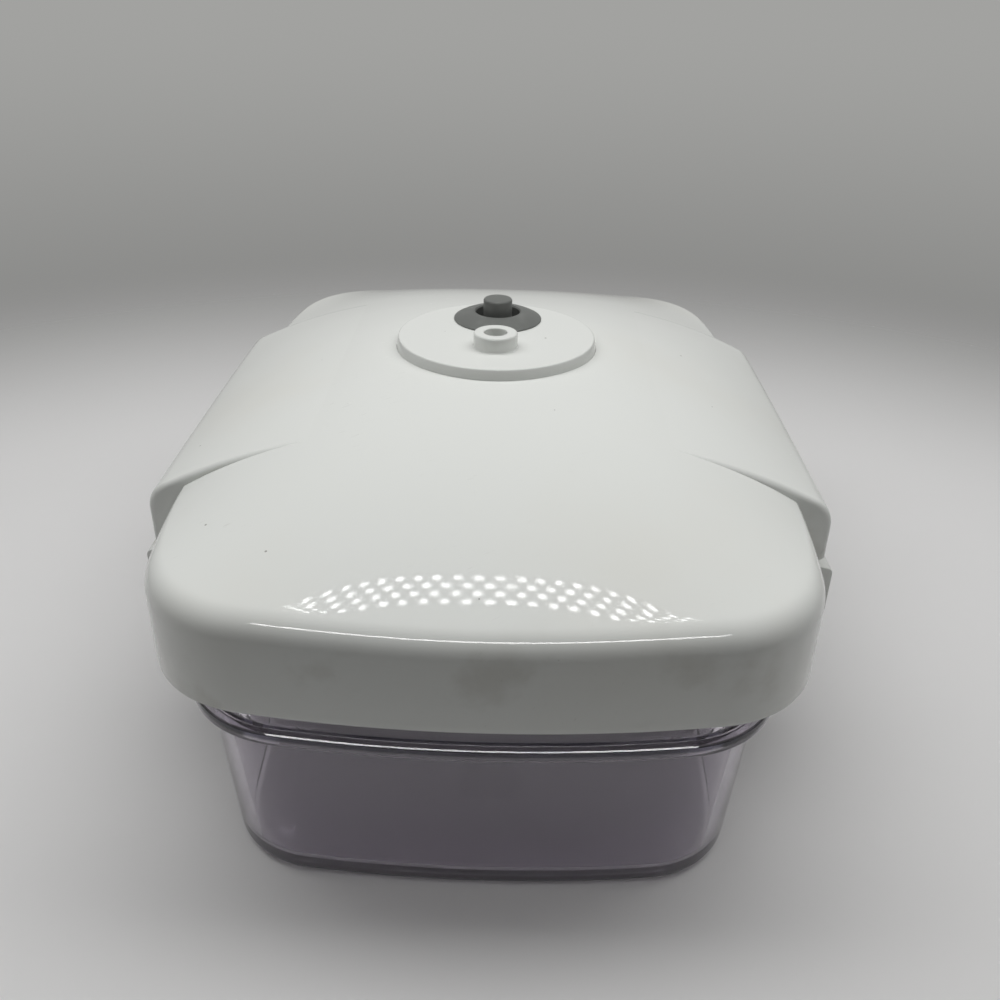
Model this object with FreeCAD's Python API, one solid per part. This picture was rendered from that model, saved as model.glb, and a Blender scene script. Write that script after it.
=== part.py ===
import FreeCAD, Part
import math
import os
from FreeCAD import Vector

# Vacuum seal canister: a clear food box, and a domed white lid that two side latches hold down.
# Millimetres, +Z up. The origin is on the floor under the middle of the box. X runs from latch
# to latch, Y along the box, and the release button stands on the +Y side of the hose port.

# Box
FLANGE_WIDTH = 137.6
FLANGE_LENGTH = 219.6
FLANGE_CORNER = 26.0
FLANGE_UNDERSIDE = 42.2
FLANGE_THICKNESS = 3.0
FLANGE_LIP = 1.8
FLANGE_EDGE_ROUND = 0.9
END_BOW = 300.0
SIDE_BOW = 1500.0
WALL_CORNER = 26.3
WALL_SIDE_STEP = 1.7
WALL_END_PROUD = 0.2
WALL_END_BOW = 345.0
BOX_WALL = 2.5
BOX_FLOOR = 3.0
BOX_DRAFT = 3.0
BASE_ROUND = 4.5
CAVITY_ROUND = 3.0
RIM_ROUND = 0.8
FOOT_RING_WIDTH = 8.0
FOOT_RING_DEPTH = 0.8
RIM_TOP = 58.0

# Seal and inner lid
GASKET_THICKNESS = 2.0
GASKET_OVERHANG = 0.6
GASKET_STRETCH_GAP = 0.15
PLATE_THICKNESS = 2.5
PLUG_GAP = 1.5
PLUG_WALL = 2.0
PLUG_DEPTH = 7.0
RIB_HEIGHT = 8.0
RIB_WIDTH = 2.0
RIB_MARGIN = 9.0
RIB_ANGLES = (0, 90, 180, 270)

# Lid shell
LATCH_ROOM = 6.7
END_MARGIN = 1.8
LID_WALL = 2.2
DOME_WALL = 2.5
SKIRT_OVERLAP = 8.5
SHOULDER_HEIGHT = 21.7
SHOULDER_ROUND = 6.5
CROWN_RISE = 20.9
CROWN_POWER_X = 2.8
CROWN_POWER_Y = 2.2
PLATE_GAP = 0.3

# Wings that cover the latches
WING_REACH = 8.0
WING_LENGTH = 105.6
WING_WALL = 2.0
WING_BOTTOM_LIFT = 6.7
WING_EDGE_LIFT = 20.75
WING_SINK = 0.15
WING_POWER_X = 2.5
WING_EDGE_ROUND = 8.0
WING_END_ROUND = 1.2
WING_ROOT = 25.0

# Valve tower and hose port
DISC_DIAMETER = 54.0
DISC_FLARE = 0.5
DISC_RISE = 1.9
DISC_THICKNESS = 2.5
DISC_EDGE_ROUND = 0.4
TOWER_WALL = 2.2
TOWER_GAP = 0.25
PORT_PLACE = -10.0
PORT_DIAMETER = 11.8
PORT_BORE = 6.1
PORT_RISE = 4.1
PORT_EDGE_ROUND = 0.5
CHAMBER_DIAMETER = 13.2
CHAMBER_WALL = 2.0
CHAMBER_DEPTH = 9.0

# Check valve under the port
SEAT_PLUG_GAP = 0.1
SEAT_PLUG_HEIGHT = 2.0
SEAT_FLANGE_HEIGHT = 1.5
SEAT_VENT_DIAMETER = 1.6
SEAT_VENT_CIRCLE = 6.4
SEAT_VENTS = 4
UMBRELLA_DIAMETER = 10.0
UMBRELLA_HEIGHT = 1.4
UMBRELLA_EDGE = 0.5
UMBRELLA_STEM = 2.0
UMBRELLA_BARB = 3.2
UMBRELLA_BARB_HEIGHT = 1.3
UMBRELLA_STEM_GAP = 0.1

# Release valve
BEZEL_PLACE = 13.0
BEZEL_DIAMETER = 25.0
BEZEL_RIM = 0.45
BEZEL_RISE = 2.4
BEZEL_SWELL = 1.7
BEZEL_BORE = 12.6
BEZEL_TUBE_WALL = 1.7
BEZEL_FLOOR = 2.0
BEZEL_HOLE_GAP = 0.2
VENT_HOLE = 5.2
NUT_ACROSS_FLATS = 20.0
NUT_HEIGHT = 3.5
NUT_GAP = 0.05
WASHER_THICKNESS = 1.2
WASHER_DIAMETER = 21.0
BUTTON_DIAMETER = 8.2
BUTTON_RISE = 6.0
BUTTON_EDGE_ROUND = 0.5
BUTTON_TRAVEL = 3.0
COLLAR_HEIGHT = 2.0
COLLAR_GAP = 0.3
COLLAR_DEPTH = 6.5
STEM_DIAMETER = 2.9
STEM_GRIP = 6.0
STEM_GAP = 0.05
POPPET_DIAMETER = 10.0
POPPET_THICKNESS = 2.5
BACKING_DIAMETER = 8.0
BACKING_THICKNESS = 0.6
CLIP_DIAMETER = 6.4
CLIP_THICKNESS = 0.8
CLIP_GROOVE = 0.45
CLIP_MOUTH = 1.6
STEM_TAIL = 1.2
SPRING_MEAN_DIAMETER = 7.2
SPRING_WIRE = 0.7
SPRING_TURNS = 4.5
SPRING_SEAT_GAP = 0.05
SPRING_SPARE = 0.65

# Latches
LATCH_LENGTH = 100.0
TAB_INSET = 0.4
PIVOT_LIFT = 3.0
PIN_DIAMETER = 2.5
PIN_RUNNING_GAP = 0.08
PIN_SEAT_GAP = 0.04
PIN_BLIND_DEPTH = 1.0
KNUCKLE_GAP = 0.4
ARM_THICKNESS = 3.0
ARM_SKIRT_GAP = 1.5
TAB_PROUD = 2.6
TAB_TOP_DROP = 3.0
TAB_ROOT_DROP = 1.7
TAB_WALL = 2.2
TAB_WEB = 3.6
TAB_HEIGHT = 13.0
TAB_EDGE_ROUND = 1.6
HOOK_LENGTH = 60.0
HOOK_GAP = 0.3
HOOK_DROP = 1.1
HOOK_NOSE = 2.2
HOOK_HEIGHT = 3.2
HOOK_TIP = 1.1
HOOK_SLOPE = 4.0

# Screws that hold the inner lid
SCREW_SHANK = 2.4
SCREW_HEAD = 4.0
SCREW_HEAD_HEIGHT = 1.6
SCREW_LENGTH = 9.0
SCREW_HOLE_GAP = 0.3
SCREW_PILOT_GAP = 0.05
SCREW_TIP_ROOM = 1.0
SCREW_GASKET_GAP = 0.5
SCREW_PLACE_Y = 66.0
BOSS_WALL = 1.8
RECESS_LENGTH = 2.4
RECESS_WIDTH = 0.6
RECESS_DEPTH = 0.8

# Room left past a face by a cutting solid, and the distance under which two places are one
PAST = 5.0
TOUCH = 0.01
CROWN_SAMPLES = 15


class Plan:
    """A rounded rectangle, seen from above, whose four sides bow outwards."""

    def __init__(self, half_width, half_length, corner, end_bow, side_bow):
        self.half_width = half_width
        self.half_length = half_length
        self.corner = corner
        self.end_bow = end_bow
        self.side_bow = side_bow

    def inset(self, step):
        """The parallel outline, a step further in."""
        return Plan(self.half_width - step, self.half_length - step, self.corner - step,
                    self.end_bow - step, self.side_bow - step)

    def arcs(self):
        """The eight arcs of the outline in turn: centre, radius, first and last angle."""
        end_centre = Vector(0, self.half_length - self.end_bow, 0)
        side_centre = Vector(self.half_width - self.side_bow, 0, 0)
        to_end = self.end_bow - self.corner
        to_side = self.side_bow - self.corner
        base = side_centre - end_centre
        along = (to_end ** 2 - to_side ** 2 + base.Length ** 2) / (2 * base.Length)
        across = math.sqrt(to_end ** 2 - along ** 2)
        unit = base / base.Length
        centre = end_centre + unit * along + Vector(unit.y, -unit.x, 0) * across
        side_turn = math.atan2(centre.y, centre.x - side_centre.x)
        end_turn = math.atan2(centre.y - end_centre.y, centre.x)
        half = math.pi
        arcs = []
        for start, way in ((0, 1), (half, -1)):
            sides = side_centre * way
            ends = end_centre * way
            near = Vector(centre.x * way, centre.y * way, 0)
            far = Vector(-centre.x * way, centre.y * way, 0)
            arcs += [
                (sides, self.side_bow, start - side_turn, start + side_turn),
                (near, self.corner, start + side_turn, start + end_turn),
                (ends, self.end_bow, start + end_turn, start + half - end_turn),
                (far, self.corner, start + half - end_turn, start + half - side_turn),
            ]
        return arcs

    def side_at(self, y):
        """Half width at a place along the side."""
        return self.half_width - self.side_bow + math.sqrt(self.side_bow ** 2 - y ** 2)

    def prism(self, low, high):
        """The solid over the outline between two heights."""
        edges = []
        for centre, radius, first, last in self.arcs():
            circle = Part.Circle(centre + Vector(0, 0, low), Vector(0, 0, 1), radius)
            edges.append(Part.ArcOfCircle(circle, first, last).toShape())
        return Part.Face(Part.Wire(edges)).extrude(Vector(0, 0, high - low))

    def ring(self, corners):
        """The solid that a section makes when it runs round the outline.

        A corner of the section is its distance inside the outline, its height and its radius.
        """
        parts = []
        for centre, radius, first, last in self.arcs():
            way = Vector(math.cos(first), math.sin(first), 0)
            points = [(centre + way * (radius - inside) + Vector(0, 0, z), r) for inside, z, r in corners]
            face = Part.Face(rounded_wire(points))
            parts.append(face.revolve(centre, Vector(0, 0, 1), math.degrees(last - first)))
        return parts[0].fuse(parts[1:]).removeSplitter()


def rounded_wire(corners):
    """A closed flat outline through points, each with its own corner radius."""
    spots = []
    for i, (point, radius) in enumerate(corners):
        if radius == 0:
            spots.append((point, point, point))
            continue
        back = (corners[i - 1][0] - point).normalize()
        ahead = (corners[(i + 1) % len(corners)][0] - point).normalize()
        half = back.getAngle(ahead) / 2
        inward = (back + ahead).normalize()
        run = radius / math.tan(half)
        depth = radius / math.sin(half) - radius
        spots.append((point + back * run, point + inward * depth, point + ahead * run))
    edges = []
    for i, (start, middle, end) in enumerate(spots):
        if start != end:
            edges.append(Part.Arc(start, middle, end).toShape())
        following = spots[(i + 1) % len(spots)][0]
        if (following - end).Length > TOUCH:
            edges.append(Part.LineSegment(end, following).toShape())
    return Part.Wire(edges)


def drum(diameter, low, high, x=0.0, y=0.0):
    """An upright cylinder between two heights."""
    return Part.makeCylinder(diameter / 2, high - low, Vector(x, y, low))


def turned(profile, x=0.0, y=0.0):
    """A solid turned about an upright axis, from (radius, height) points."""
    points = [Vector(x + radius, y, z) for radius, z in profile]
    face = Part.Face(Part.makePolygon(points + points[:1]))
    return face.revolve(Vector(x, y, 0), Vector(0, 0, 1), 360)


def rounded(solid, radius, chosen):
    """The solid with a radius on each edge that the test chooses."""
    return solid.makeFillet(radius, [edge for edge in solid.Edges if chosen(edge)])


def flat_at(edge, z):
    """True for an edge that lies in one level plane."""
    box = edge.BoundBox
    return abs(box.ZMin - z) < TOUCH and abs(box.ZMax - z) < TOUCH


# Outlines
flange_plan = Plan(FLANGE_WIDTH / 2, FLANGE_LENGTH / 2, FLANGE_CORNER, END_BOW, SIDE_BOW)
rim_plan = flange_plan.inset(FLANGE_LIP)
wall_plan = Plan(rim_plan.half_width - WALL_SIDE_STEP, rim_plan.half_length + WALL_END_PROUD, WALL_CORNER,
                 WALL_END_BOW, SIDE_BOW)
gasket_plan = rim_plan.inset(-GASKET_OVERHANG)
mouth_plan = rim_plan.inset(BOX_WALL)
plug_plan = mouth_plan.inset(PLUG_GAP)
lid_plan = Plan(FLANGE_WIDTH / 2 + LATCH_ROOM, FLANGE_LENGTH / 2 + END_MARGIN,
                FLANGE_CORNER + END_MARGIN, END_BOW + END_MARGIN, SIDE_BOW)
skirt_inside = lid_plan.inset(LID_WALL)
plate_plan = skirt_inside.inset(PLATE_GAP)

# Heights
flange_top = FLANGE_UNDERSIDE + FLANGE_THICKNESS
plate_bottom = RIM_TOP + GASKET_THICKNESS
plate_top = plate_bottom + PLATE_THICKNESS
skirt_bottom = plate_bottom - SKIRT_OVERLAP
edge_height = skirt_bottom + SHOULDER_HEIGHT
crown = edge_height + CROWN_RISE
disc_top = crown + DISC_RISE
disc_bottom = disc_top - DISC_THICKNESS
wing_bottom = skirt_bottom + WING_BOTTOM_LIFT
wing_edge = skirt_bottom + WING_EDGE_LIFT

# Places shared by the wings, the latches and their pins
wing_half_width = lid_plan.half_width + WING_REACH
wing_inside = wing_half_width - WING_WALL
wing_half_length = WING_LENGTH / 2
wing_end_inside = wing_half_length - WING_WALL
pivot_x = (lid_plan.half_width + wing_inside) / 2
pivot_z = wing_bottom + PIVOT_LIFT

# Places shared by the valve pieces
tower_radius = DISC_DIAMETER / 2 + DISC_FLARE
chamber_bottom = disc_bottom - CHAMBER_DEPTH
chamber_outside = CHAMBER_DIAMETER + 2 * CHAMBER_WALL
bezel_tube = BEZEL_BORE + 2 * BEZEL_TUBE_WALL
collar_bottom = disc_top - COLLAR_DEPTH
spring_solid = (SPRING_TURNS + 1) * SPRING_WIRE
vent_top = collar_bottom - spring_solid - BUTTON_TRAVEL - SPRING_SPARE
bezel_bottom = vent_top - BEZEL_FLOOR
poppet_bottom = bezel_bottom - POPPET_THICKNESS
clip_top = poppet_bottom - BACKING_THICKNESS
clip_bottom = clip_top - CLIP_THICKNESS

# Places of the screws
screw_x = gasket_plan.side_at(SCREW_PLACE_Y) + SCREW_GASKET_GAP + SCREW_HEAD / 2
screw_places = [(sx * screw_x, sy * SCREW_PLACE_Y) for sx in (-1, 1) for sy in (-1, 1)]


def crown_height(x, y):
    """Height of the dome: highest in the middle, and level along its edge."""
    across = (abs(x) / lid_plan.half_width) ** CROWN_POWER_X
    along = (abs(y) / lid_plan.half_length) ** CROWN_POWER_Y
    return crown - CROWN_RISE * (1 - (1 - across) * (1 - along))


def wing_height(x, y):
    """Height of a wing's top: it leaves the dome, and is level along its outer edge."""
    across = (abs(x) / wing_half_width) ** WING_POWER_X
    along = (abs(y) / lid_plan.half_length) ** CROWN_POWER_Y
    middle = crown - WING_SINK - CROWN_RISE * along
    return middle + (wing_edge - middle) * across


def below(height, drop, low_x, high_x, half_length):
    """The solid under a curved top that lies a drop below the height given."""
    steps = [i / (CROWN_SAMPLES - 1) for i in range(CROWN_SAMPLES)]
    across = [low_x + (high_x - low_x) * t for t in steps]
    along = [half_length * (2 * t - 1) for t in steps]
    surface = Part.BSplineSurface()
    surface.interpolate([[Vector(x, y, height(x, y) - drop) for y in along] for x in across])
    return surface.toShape().extrude(Vector(0, 0, -2 * crown))


def dome(plan, drop, shoulder):
    """The lid's outer form, or the hollow inside it, with its rounded shoulder."""
    reach_x = plan.half_width + PAST
    block = plan.prism(skirt_bottom, crown + PAST)
    solid = block.common(below(crown_height, drop, -reach_x, reach_x, plan.half_length + PAST))
    return rounded(solid, shoulder, lambda edge: edge.BoundBox.ZMin > plate_top)


def wing_block(outer_x, half_length, drop, low):
    """The solid of the right wing, or of the pocket inside it."""
    block = Part.makeBox(outer_x - WING_ROOT, 2 * half_length, crown - low,
                         Vector(WING_ROOT, -half_length, low))
    return block.common(below(wing_height, drop, WING_ROOT - PAST, outer_x + PAST, half_length + PAST))


def mirrored(solid):
    """The same solid on the left side."""
    return solid.mirror(Vector(0, 0, 0), Vector(1, 0, 0))


def pin_hole(gap):
    """The hole for the right latch's pin: blind at the front wall, open at the back."""
    start = -wing_end_inside - PIN_BLIND_DEPTH
    return Part.makeCylinder(PIN_DIAMETER / 2 + gap, wing_half_length + PAST - start,
                             Vector(pivot_x, start, pivot_z), Vector(0, 1, 0))


def make_container():
    """The clear box: drafted walls, a rim that steps out over them with a lip below it, and a ring to stand on."""
    base_inside = BOX_DRAFT + BOX_WALL
    floor_edge = BOX_DRAFT + FOOT_RING_WIDTH
    wall = wall_plan.ring([
        (floor_edge, 0, 0), (BOX_DRAFT, 0, BASE_ROUND), (0, FLANGE_UNDERSIDE, 0), (0, flange_top, 0),
        (BOX_WALL, flange_top, 0), (BOX_WALL, FLANGE_UNDERSIDE, 0), (base_inside, BOX_FLOOR, CAVITY_ROUND),
        (floor_edge, BOX_FLOOR, 0),
    ])
    floor = wall_plan.inset(floor_edge).prism(FOOT_RING_DEPTH, BOX_FLOOR)
    rim = rim_plan.ring([
        (BOX_WALL, FLANGE_UNDERSIDE, 0), (-FLANGE_LIP, FLANGE_UNDERSIDE, FLANGE_EDGE_ROUND),
        (-FLANGE_LIP, flange_top, FLANGE_EDGE_ROUND), (0, flange_top, 0), (0, RIM_TOP, RIM_ROUND),
        (BOX_WALL, RIM_TOP, RIM_ROUND),
    ])
    ledge = rim_plan.inset(BOX_WALL / 2).prism(FLANGE_UNDERSIDE, flange_top)
    ledge = ledge.cut(wall_plan.inset(BOX_WALL / 2).prism(FLANGE_UNDERSIDE, flange_top))
    return wall.fuse([floor, ledge, rim]).removeSplitter()


def make_lid_shell():
    """The white outer lid: dome, skirt, two hollow wings and the screw bosses."""
    outer = dome(lid_plan, 0, SHOULDER_ROUND)
    hollow = dome(skirt_inside, DOME_WALL, SHOULDER_ROUND - LID_WALL)
    wing = wing_block(wing_half_width, wing_half_length, 0, wing_bottom)
    wing = rounded(wing, WING_EDGE_ROUND,
                   lambda edge: edge.BoundBox.XMin > wing_inside and edge.BoundBox.YLength > WING_LENGTH / 2
                   and edge.BoundBox.ZMin > pivot_z)
    wing = rounded(wing, WING_END_ROUND,
                   lambda edge: edge.BoundBox.YLength < WING_WALL and edge.BoundBox.ZMax > wing_edge
                   and edge.BoundBox.XLength > WING_WALL)
    pocket = wing_block(wing_inside, wing_end_inside, LID_WALL, wing_bottom)
    pocket = rounded(pocket, WING_EDGE_ROUND - WING_WALL,
                     lambda edge: edge.BoundBox.XMin > pivot_x and edge.BoundBox.YLength > WING_LENGTH / 2
                     and edge.BoundBox.ZMin > pivot_z)
    pocket = pocket.cut(lid_plan.prism(skirt_bottom, crown + PAST))
    wings = [wing, mirrored(wing)]
    pockets = [pocket, mirrored(pocket)]
    holes = [pin_hole(PIN_SEAT_GAP), mirrored(pin_hole(PIN_SEAT_GAP))]
    shell = outer.fuse(wings).cut([hollow] + pockets + holes)
    boss_size = SCREW_SHANK + 2 * BOSS_WALL
    bosses = [drum(boss_size, plate_top, crown, x, y).common(outer) for x, y in screw_places]
    pilot_top = plate_bottom + SCREW_LENGTH + SCREW_TIP_ROOM
    pilots = [drum(SCREW_SHANK + 2 * SCREW_PILOT_GAP, plate_top, pilot_top, x, y) for x, y in screw_places]
    opening = drum(2 * (tower_radius + TOWER_GAP), plate_top, disc_top)
    return shell.fuse(bosses).removeSplitter().cut(pilots + [opening])


def make_inner_lid():
    """The plate that closes the box, with the valve tower whose top shows on the lid."""
    plate = plate_plan.prism(plate_bottom, plate_top)
    plug = plug_plan.prism(plate_bottom - PLUG_DEPTH, plate_bottom)
    plug_hollow = plug_plan.inset(PLUG_WALL).prism(plate_bottom - PLUG_DEPTH, plate_bottom)
    tower = turned([(0, plate_bottom), (tower_radius, plate_bottom), (tower_radius, crown),
                    (DISC_DIAMETER / 2, disc_top), (0, disc_top)])
    tower = rounded(tower, DISC_EDGE_ROUND, lambda edge: flat_at(edge, disc_top))
    ribs = []
    for angle in RIB_ANGLES:
        reach = plug_plan.half_width if angle % 180 == 0 else plug_plan.half_length
        rib = Part.makeBox(reach - RIB_MARGIN, RIB_WIDTH, RIB_HEIGHT, Vector(0, -RIB_WIDTH / 2, plate_top))
        ribs.append(rib.rotate(Vector(0, 0, 0), Vector(0, 0, 1), angle))
    well = drum(2 * (tower_radius - TOWER_WALL), plate_bottom, disc_bottom)
    port = drum(PORT_DIAMETER, disc_top, disc_top + PORT_RISE, 0, PORT_PLACE)
    port = rounded(port, PORT_EDGE_ROUND, lambda edge: flat_at(edge, disc_top + PORT_RISE))
    port_bore = drum(PORT_BORE, disc_bottom, disc_top + PORT_RISE, 0, PORT_PLACE)
    chamber = drum(chamber_outside, chamber_bottom, disc_bottom, 0, PORT_PLACE)
    chamber_hollow = drum(CHAMBER_DIAMETER, chamber_bottom, disc_bottom, 0, PORT_PLACE)
    bezel_hole = drum(bezel_tube + 2 * BEZEL_HOLE_GAP, disc_bottom, disc_top, 0, BEZEL_PLACE)
    holes = [drum(SCREW_SHANK + 2 * SCREW_HOLE_GAP, plate_bottom, plate_top, x, y) for x, y in screw_places]
    lid = plate.fuse([plug, tower] + ribs).cut([plug_hollow, well])
    return lid.fuse([port, chamber]).removeSplitter().cut([port_bore, chamber_hollow, bezel_hole] + holes)


def make_main_gasket():
    """The silicone ring, stretched round the plug, that the rim presses on."""
    outer = gasket_plan.prism(RIM_TOP, plate_bottom)
    return outer.cut(plug_plan.inset(-GASKET_STRETCH_GAP).prism(RIM_TOP, plate_bottom))


def make_check_valve_seat():
    """The vented plug in the mouth of the chamber under the port."""
    flange = drum(chamber_outside, chamber_bottom - SEAT_FLANGE_HEIGHT, chamber_bottom, 0, PORT_PLACE)
    plug = drum(CHAMBER_DIAMETER - 2 * SEAT_PLUG_GAP, chamber_bottom, chamber_bottom + SEAT_PLUG_HEIGHT,
                0, PORT_PLACE)
    low = chamber_bottom - SEAT_FLANGE_HEIGHT
    high = chamber_bottom + SEAT_PLUG_HEIGHT
    holes = [drum(UMBRELLA_STEM + 2 * UMBRELLA_STEM_GAP, low, high, 0, PORT_PLACE)]
    for i in range(SEAT_VENTS):
        turn = 2 * math.pi * i / SEAT_VENTS
        place = Vector(math.cos(turn), math.sin(turn), 0) * (SEAT_VENT_CIRCLE / 2)
        holes.append(drum(SEAT_VENT_DIAMETER, low, high, place.x, PORT_PLACE + place.y))
    return flange.fuse(plug).removeSplitter().cut(holes)


def make_check_valve():
    """The silicone umbrella that covers the seat's vents."""
    seat = chamber_bottom + SEAT_PLUG_HEIGHT
    under = chamber_bottom - SEAT_FLANGE_HEIGHT
    stem = UMBRELLA_STEM / 2
    barb_top = under - UMBRELLA_STEM_GAP
    return turned([(0, seat + UMBRELLA_HEIGHT), (stem, seat + UMBRELLA_HEIGHT),
                   (UMBRELLA_DIAMETER / 2, seat + UMBRELLA_EDGE), (UMBRELLA_DIAMETER / 2, seat),
                   (stem, seat), (stem, barb_top), (UMBRELLA_BARB / 2, barb_top),
                   (stem, barb_top - UMBRELLA_BARB_HEIGHT), (0, barb_top - UMBRELLA_BARB_HEIGHT)],
                  0, PORT_PLACE)


def make_button_bezel():
    """The grey body of the release valve: a low cone over the disc and a tube below it."""
    bore = BEZEL_BORE / 2
    rim = BEZEL_DIAMETER / 2
    tube = bezel_tube / 2
    top = disc_top + BEZEL_RISE
    swell = Vector((rim + bore) / 2, 0, disc_top + BEZEL_SWELL)
    corners = [(rim, disc_top), (tube, disc_top), (tube, bezel_bottom), (VENT_HOLE / 2, bezel_bottom),
               (VENT_HOLE / 2, vent_top), (bore, vent_top), (bore, top)]
    points = [Vector(radius, 0, z) for radius, z in corners]
    edges = [Part.LineSegment(a, b).toShape() for a, b in zip(points, points[1:])]
    shoulder = Vector(rim, 0, disc_top + BEZEL_RIM)
    edges.append(Part.Arc(points[-1], swell, shoulder).toShape())
    edges.append(Part.LineSegment(shoulder, points[0]).toShape())
    solid = Part.Face(Part.Wire(edges)).revolve(Vector(0, 0, 0), Vector(0, 0, 1), 360)
    return solid.translate(Vector(0, BEZEL_PLACE, 0))


def make_bezel_washer():
    """The rubber washer between the disc and the nut."""
    outer = drum(WASHER_DIAMETER, disc_bottom - WASHER_THICKNESS, disc_bottom, 0, BEZEL_PLACE)
    return outer.cut(drum(bezel_tube + 2 * NUT_GAP, disc_bottom - WASHER_THICKNESS, disc_bottom,
                          0, BEZEL_PLACE))


def make_bezel_nut():
    """The six-sided nut that clamps the bezel to the disc."""
    top = disc_bottom - WASHER_THICKNESS
    radius = NUT_ACROSS_FLATS / math.sqrt(3)
    turns = [math.radians(60 * i) for i in range(6)]
    points = [Vector(radius * math.cos(t), BEZEL_PLACE + radius * math.sin(t), top - NUT_HEIGHT)
              for t in turns]
    block = Part.Face(Part.makePolygon(points + points[:1])).extrude(Vector(0, 0, NUT_HEIGHT))
    return block.cut(drum(bezel_tube + 2 * NUT_GAP, top - NUT_HEIGHT, top, 0, BEZEL_PLACE))


def make_release_button():
    """The grey push button, with the collar that guides it in the bezel."""
    top = disc_top + BUTTON_RISE
    button = drum(BUTTON_DIAMETER, collar_bottom, top, 0, BEZEL_PLACE)
    button = rounded(button, BUTTON_EDGE_ROUND, lambda edge: flat_at(edge, top))
    collar = drum(BEZEL_BORE - 2 * COLLAR_GAP, collar_bottom, collar_bottom + COLLAR_HEIGHT, 0, BEZEL_PLACE)
    socket = drum(STEM_DIAMETER + 2 * STEM_GAP, collar_bottom, collar_bottom + STEM_GRIP, 0, BEZEL_PLACE)
    return button.fuse(collar).removeSplitter().cut(socket)


def make_valve_stem():
    """The steel rod from the button down past the poppet, with the clip's groove."""
    stem = drum(STEM_DIAMETER, clip_bottom - STEM_TAIL, collar_bottom + STEM_GRIP, 0, BEZEL_PLACE)
    groove = drum(STEM_DIAMETER, clip_bottom, clip_top, 0, BEZEL_PLACE)
    core = drum(STEM_DIAMETER - 2 * CLIP_GROOVE, clip_bottom, clip_top, 0, BEZEL_PLACE)
    return stem.cut(groove.cut(core))


def stem_ring(diameter, low, high):
    """A flat ring that fits the stem."""
    hole = drum(STEM_DIAMETER + 2 * STEM_GAP, low, high, 0, BEZEL_PLACE)
    return drum(diameter, low, high, 0, BEZEL_PLACE).cut(hole)


def make_stem_seal():
    """The rubber poppet that shuts the vent hole from below."""
    return stem_ring(POPPET_DIAMETER, poppet_bottom, bezel_bottom)


def make_stem_washer():
    """The steel washer that backs the poppet."""
    return stem_ring(BACKING_DIAMETER, clip_top, poppet_bottom)


def make_stem_clip():
    """The open clip in the stem's groove that carries the washer and the poppet."""
    core = STEM_DIAMETER - 2 * CLIP_GROOVE + 2 * STEM_GAP
    ring = drum(CLIP_DIAMETER, clip_bottom, clip_top, 0, BEZEL_PLACE)
    mouth = Part.makeBox(CLIP_MOUTH, CLIP_DIAMETER, CLIP_THICKNESS,
                         Vector(-CLIP_MOUTH / 2, BEZEL_PLACE, clip_bottom))
    return ring.cut([drum(core, clip_bottom, clip_top, 0, BEZEL_PLACE), mouth])


def biarc(start, start_way, end, end_way):
    """Two arcs that join two points along given directions with no kink."""
    gap = end - start
    ways = start_way + end_way
    spread = 2 * (1 - start_way.dot(end_way))
    lean = gap.dot(ways)
    arm = (math.sqrt(lean ** 2 + spread * gap.dot(gap)) - lean) / spread
    first = start + start_way * arm
    second = end - end_way * arm
    join = (first + second) / 2

    def arc(a, apex, b):
        middle = (a + b) / 2
        half = (b - a).Length / 2
        rise = (apex - middle).Length
        quarter = math.atan2(rise, half) / 2
        return Part.Arc(a, middle + (apex - middle) * (half * math.tan(quarter) / rise), b).toShape()

    return [arc(start, first, join), arc(join, second, end)]


def make_release_spring():
    """The coil that pushes the button up: one wire, in quarter turns of a helix."""
    low = vent_top + SPRING_WIRE / 2 + SPRING_SEAT_GAP
    high = collar_bottom - SPRING_WIRE / 2 - SPRING_SEAT_GAP
    radius = SPRING_MEAN_DIAMETER / 2
    pitch = (high - low) / SPRING_TURNS
    quarters = round(4 * SPRING_TURNS)

    def point(quarter):
        turn = math.pi / 2 * quarter
        return Vector(radius * math.cos(turn), BEZEL_PLACE + radius * math.sin(turn),
                      low + pitch * quarter / 4)

    def way(quarter):
        turn = math.pi / 2 * quarter
        return Vector(-radius * math.sin(turn), radius * math.cos(turn), pitch / (2 * math.pi)).normalize()

    edges = []
    for quarter in range(quarters):
        edges += biarc(point(quarter), way(quarter), point(quarter + 1), way(quarter + 1))
    path = Part.Wire(edges)
    section = Part.Wire(Part.Circle(point(0), way(0), SPRING_WIRE / 2).toShape())
    coil = path.makePipeShell([section], True, False)
    closeness = pitch * math.cos(math.atan(pitch / (2 * math.pi * radius))) - SPRING_WIRE
    print("release_spring: gap between turns %.2f mm, volume %.2f of %.2f mm3"
          % (closeness, coil.Volume, path.Length * math.pi * SPRING_WIRE ** 2 / 4))
    return coil


def across(points, length):
    """A solid of a section in X and Z, run along Y about the middle."""
    corners = [Vector(x, -length / 2, z) for x, z in points]
    return Part.Face(Part.makePolygon(corners + corners[:1])).extrude(Vector(0, length, 0))


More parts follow.
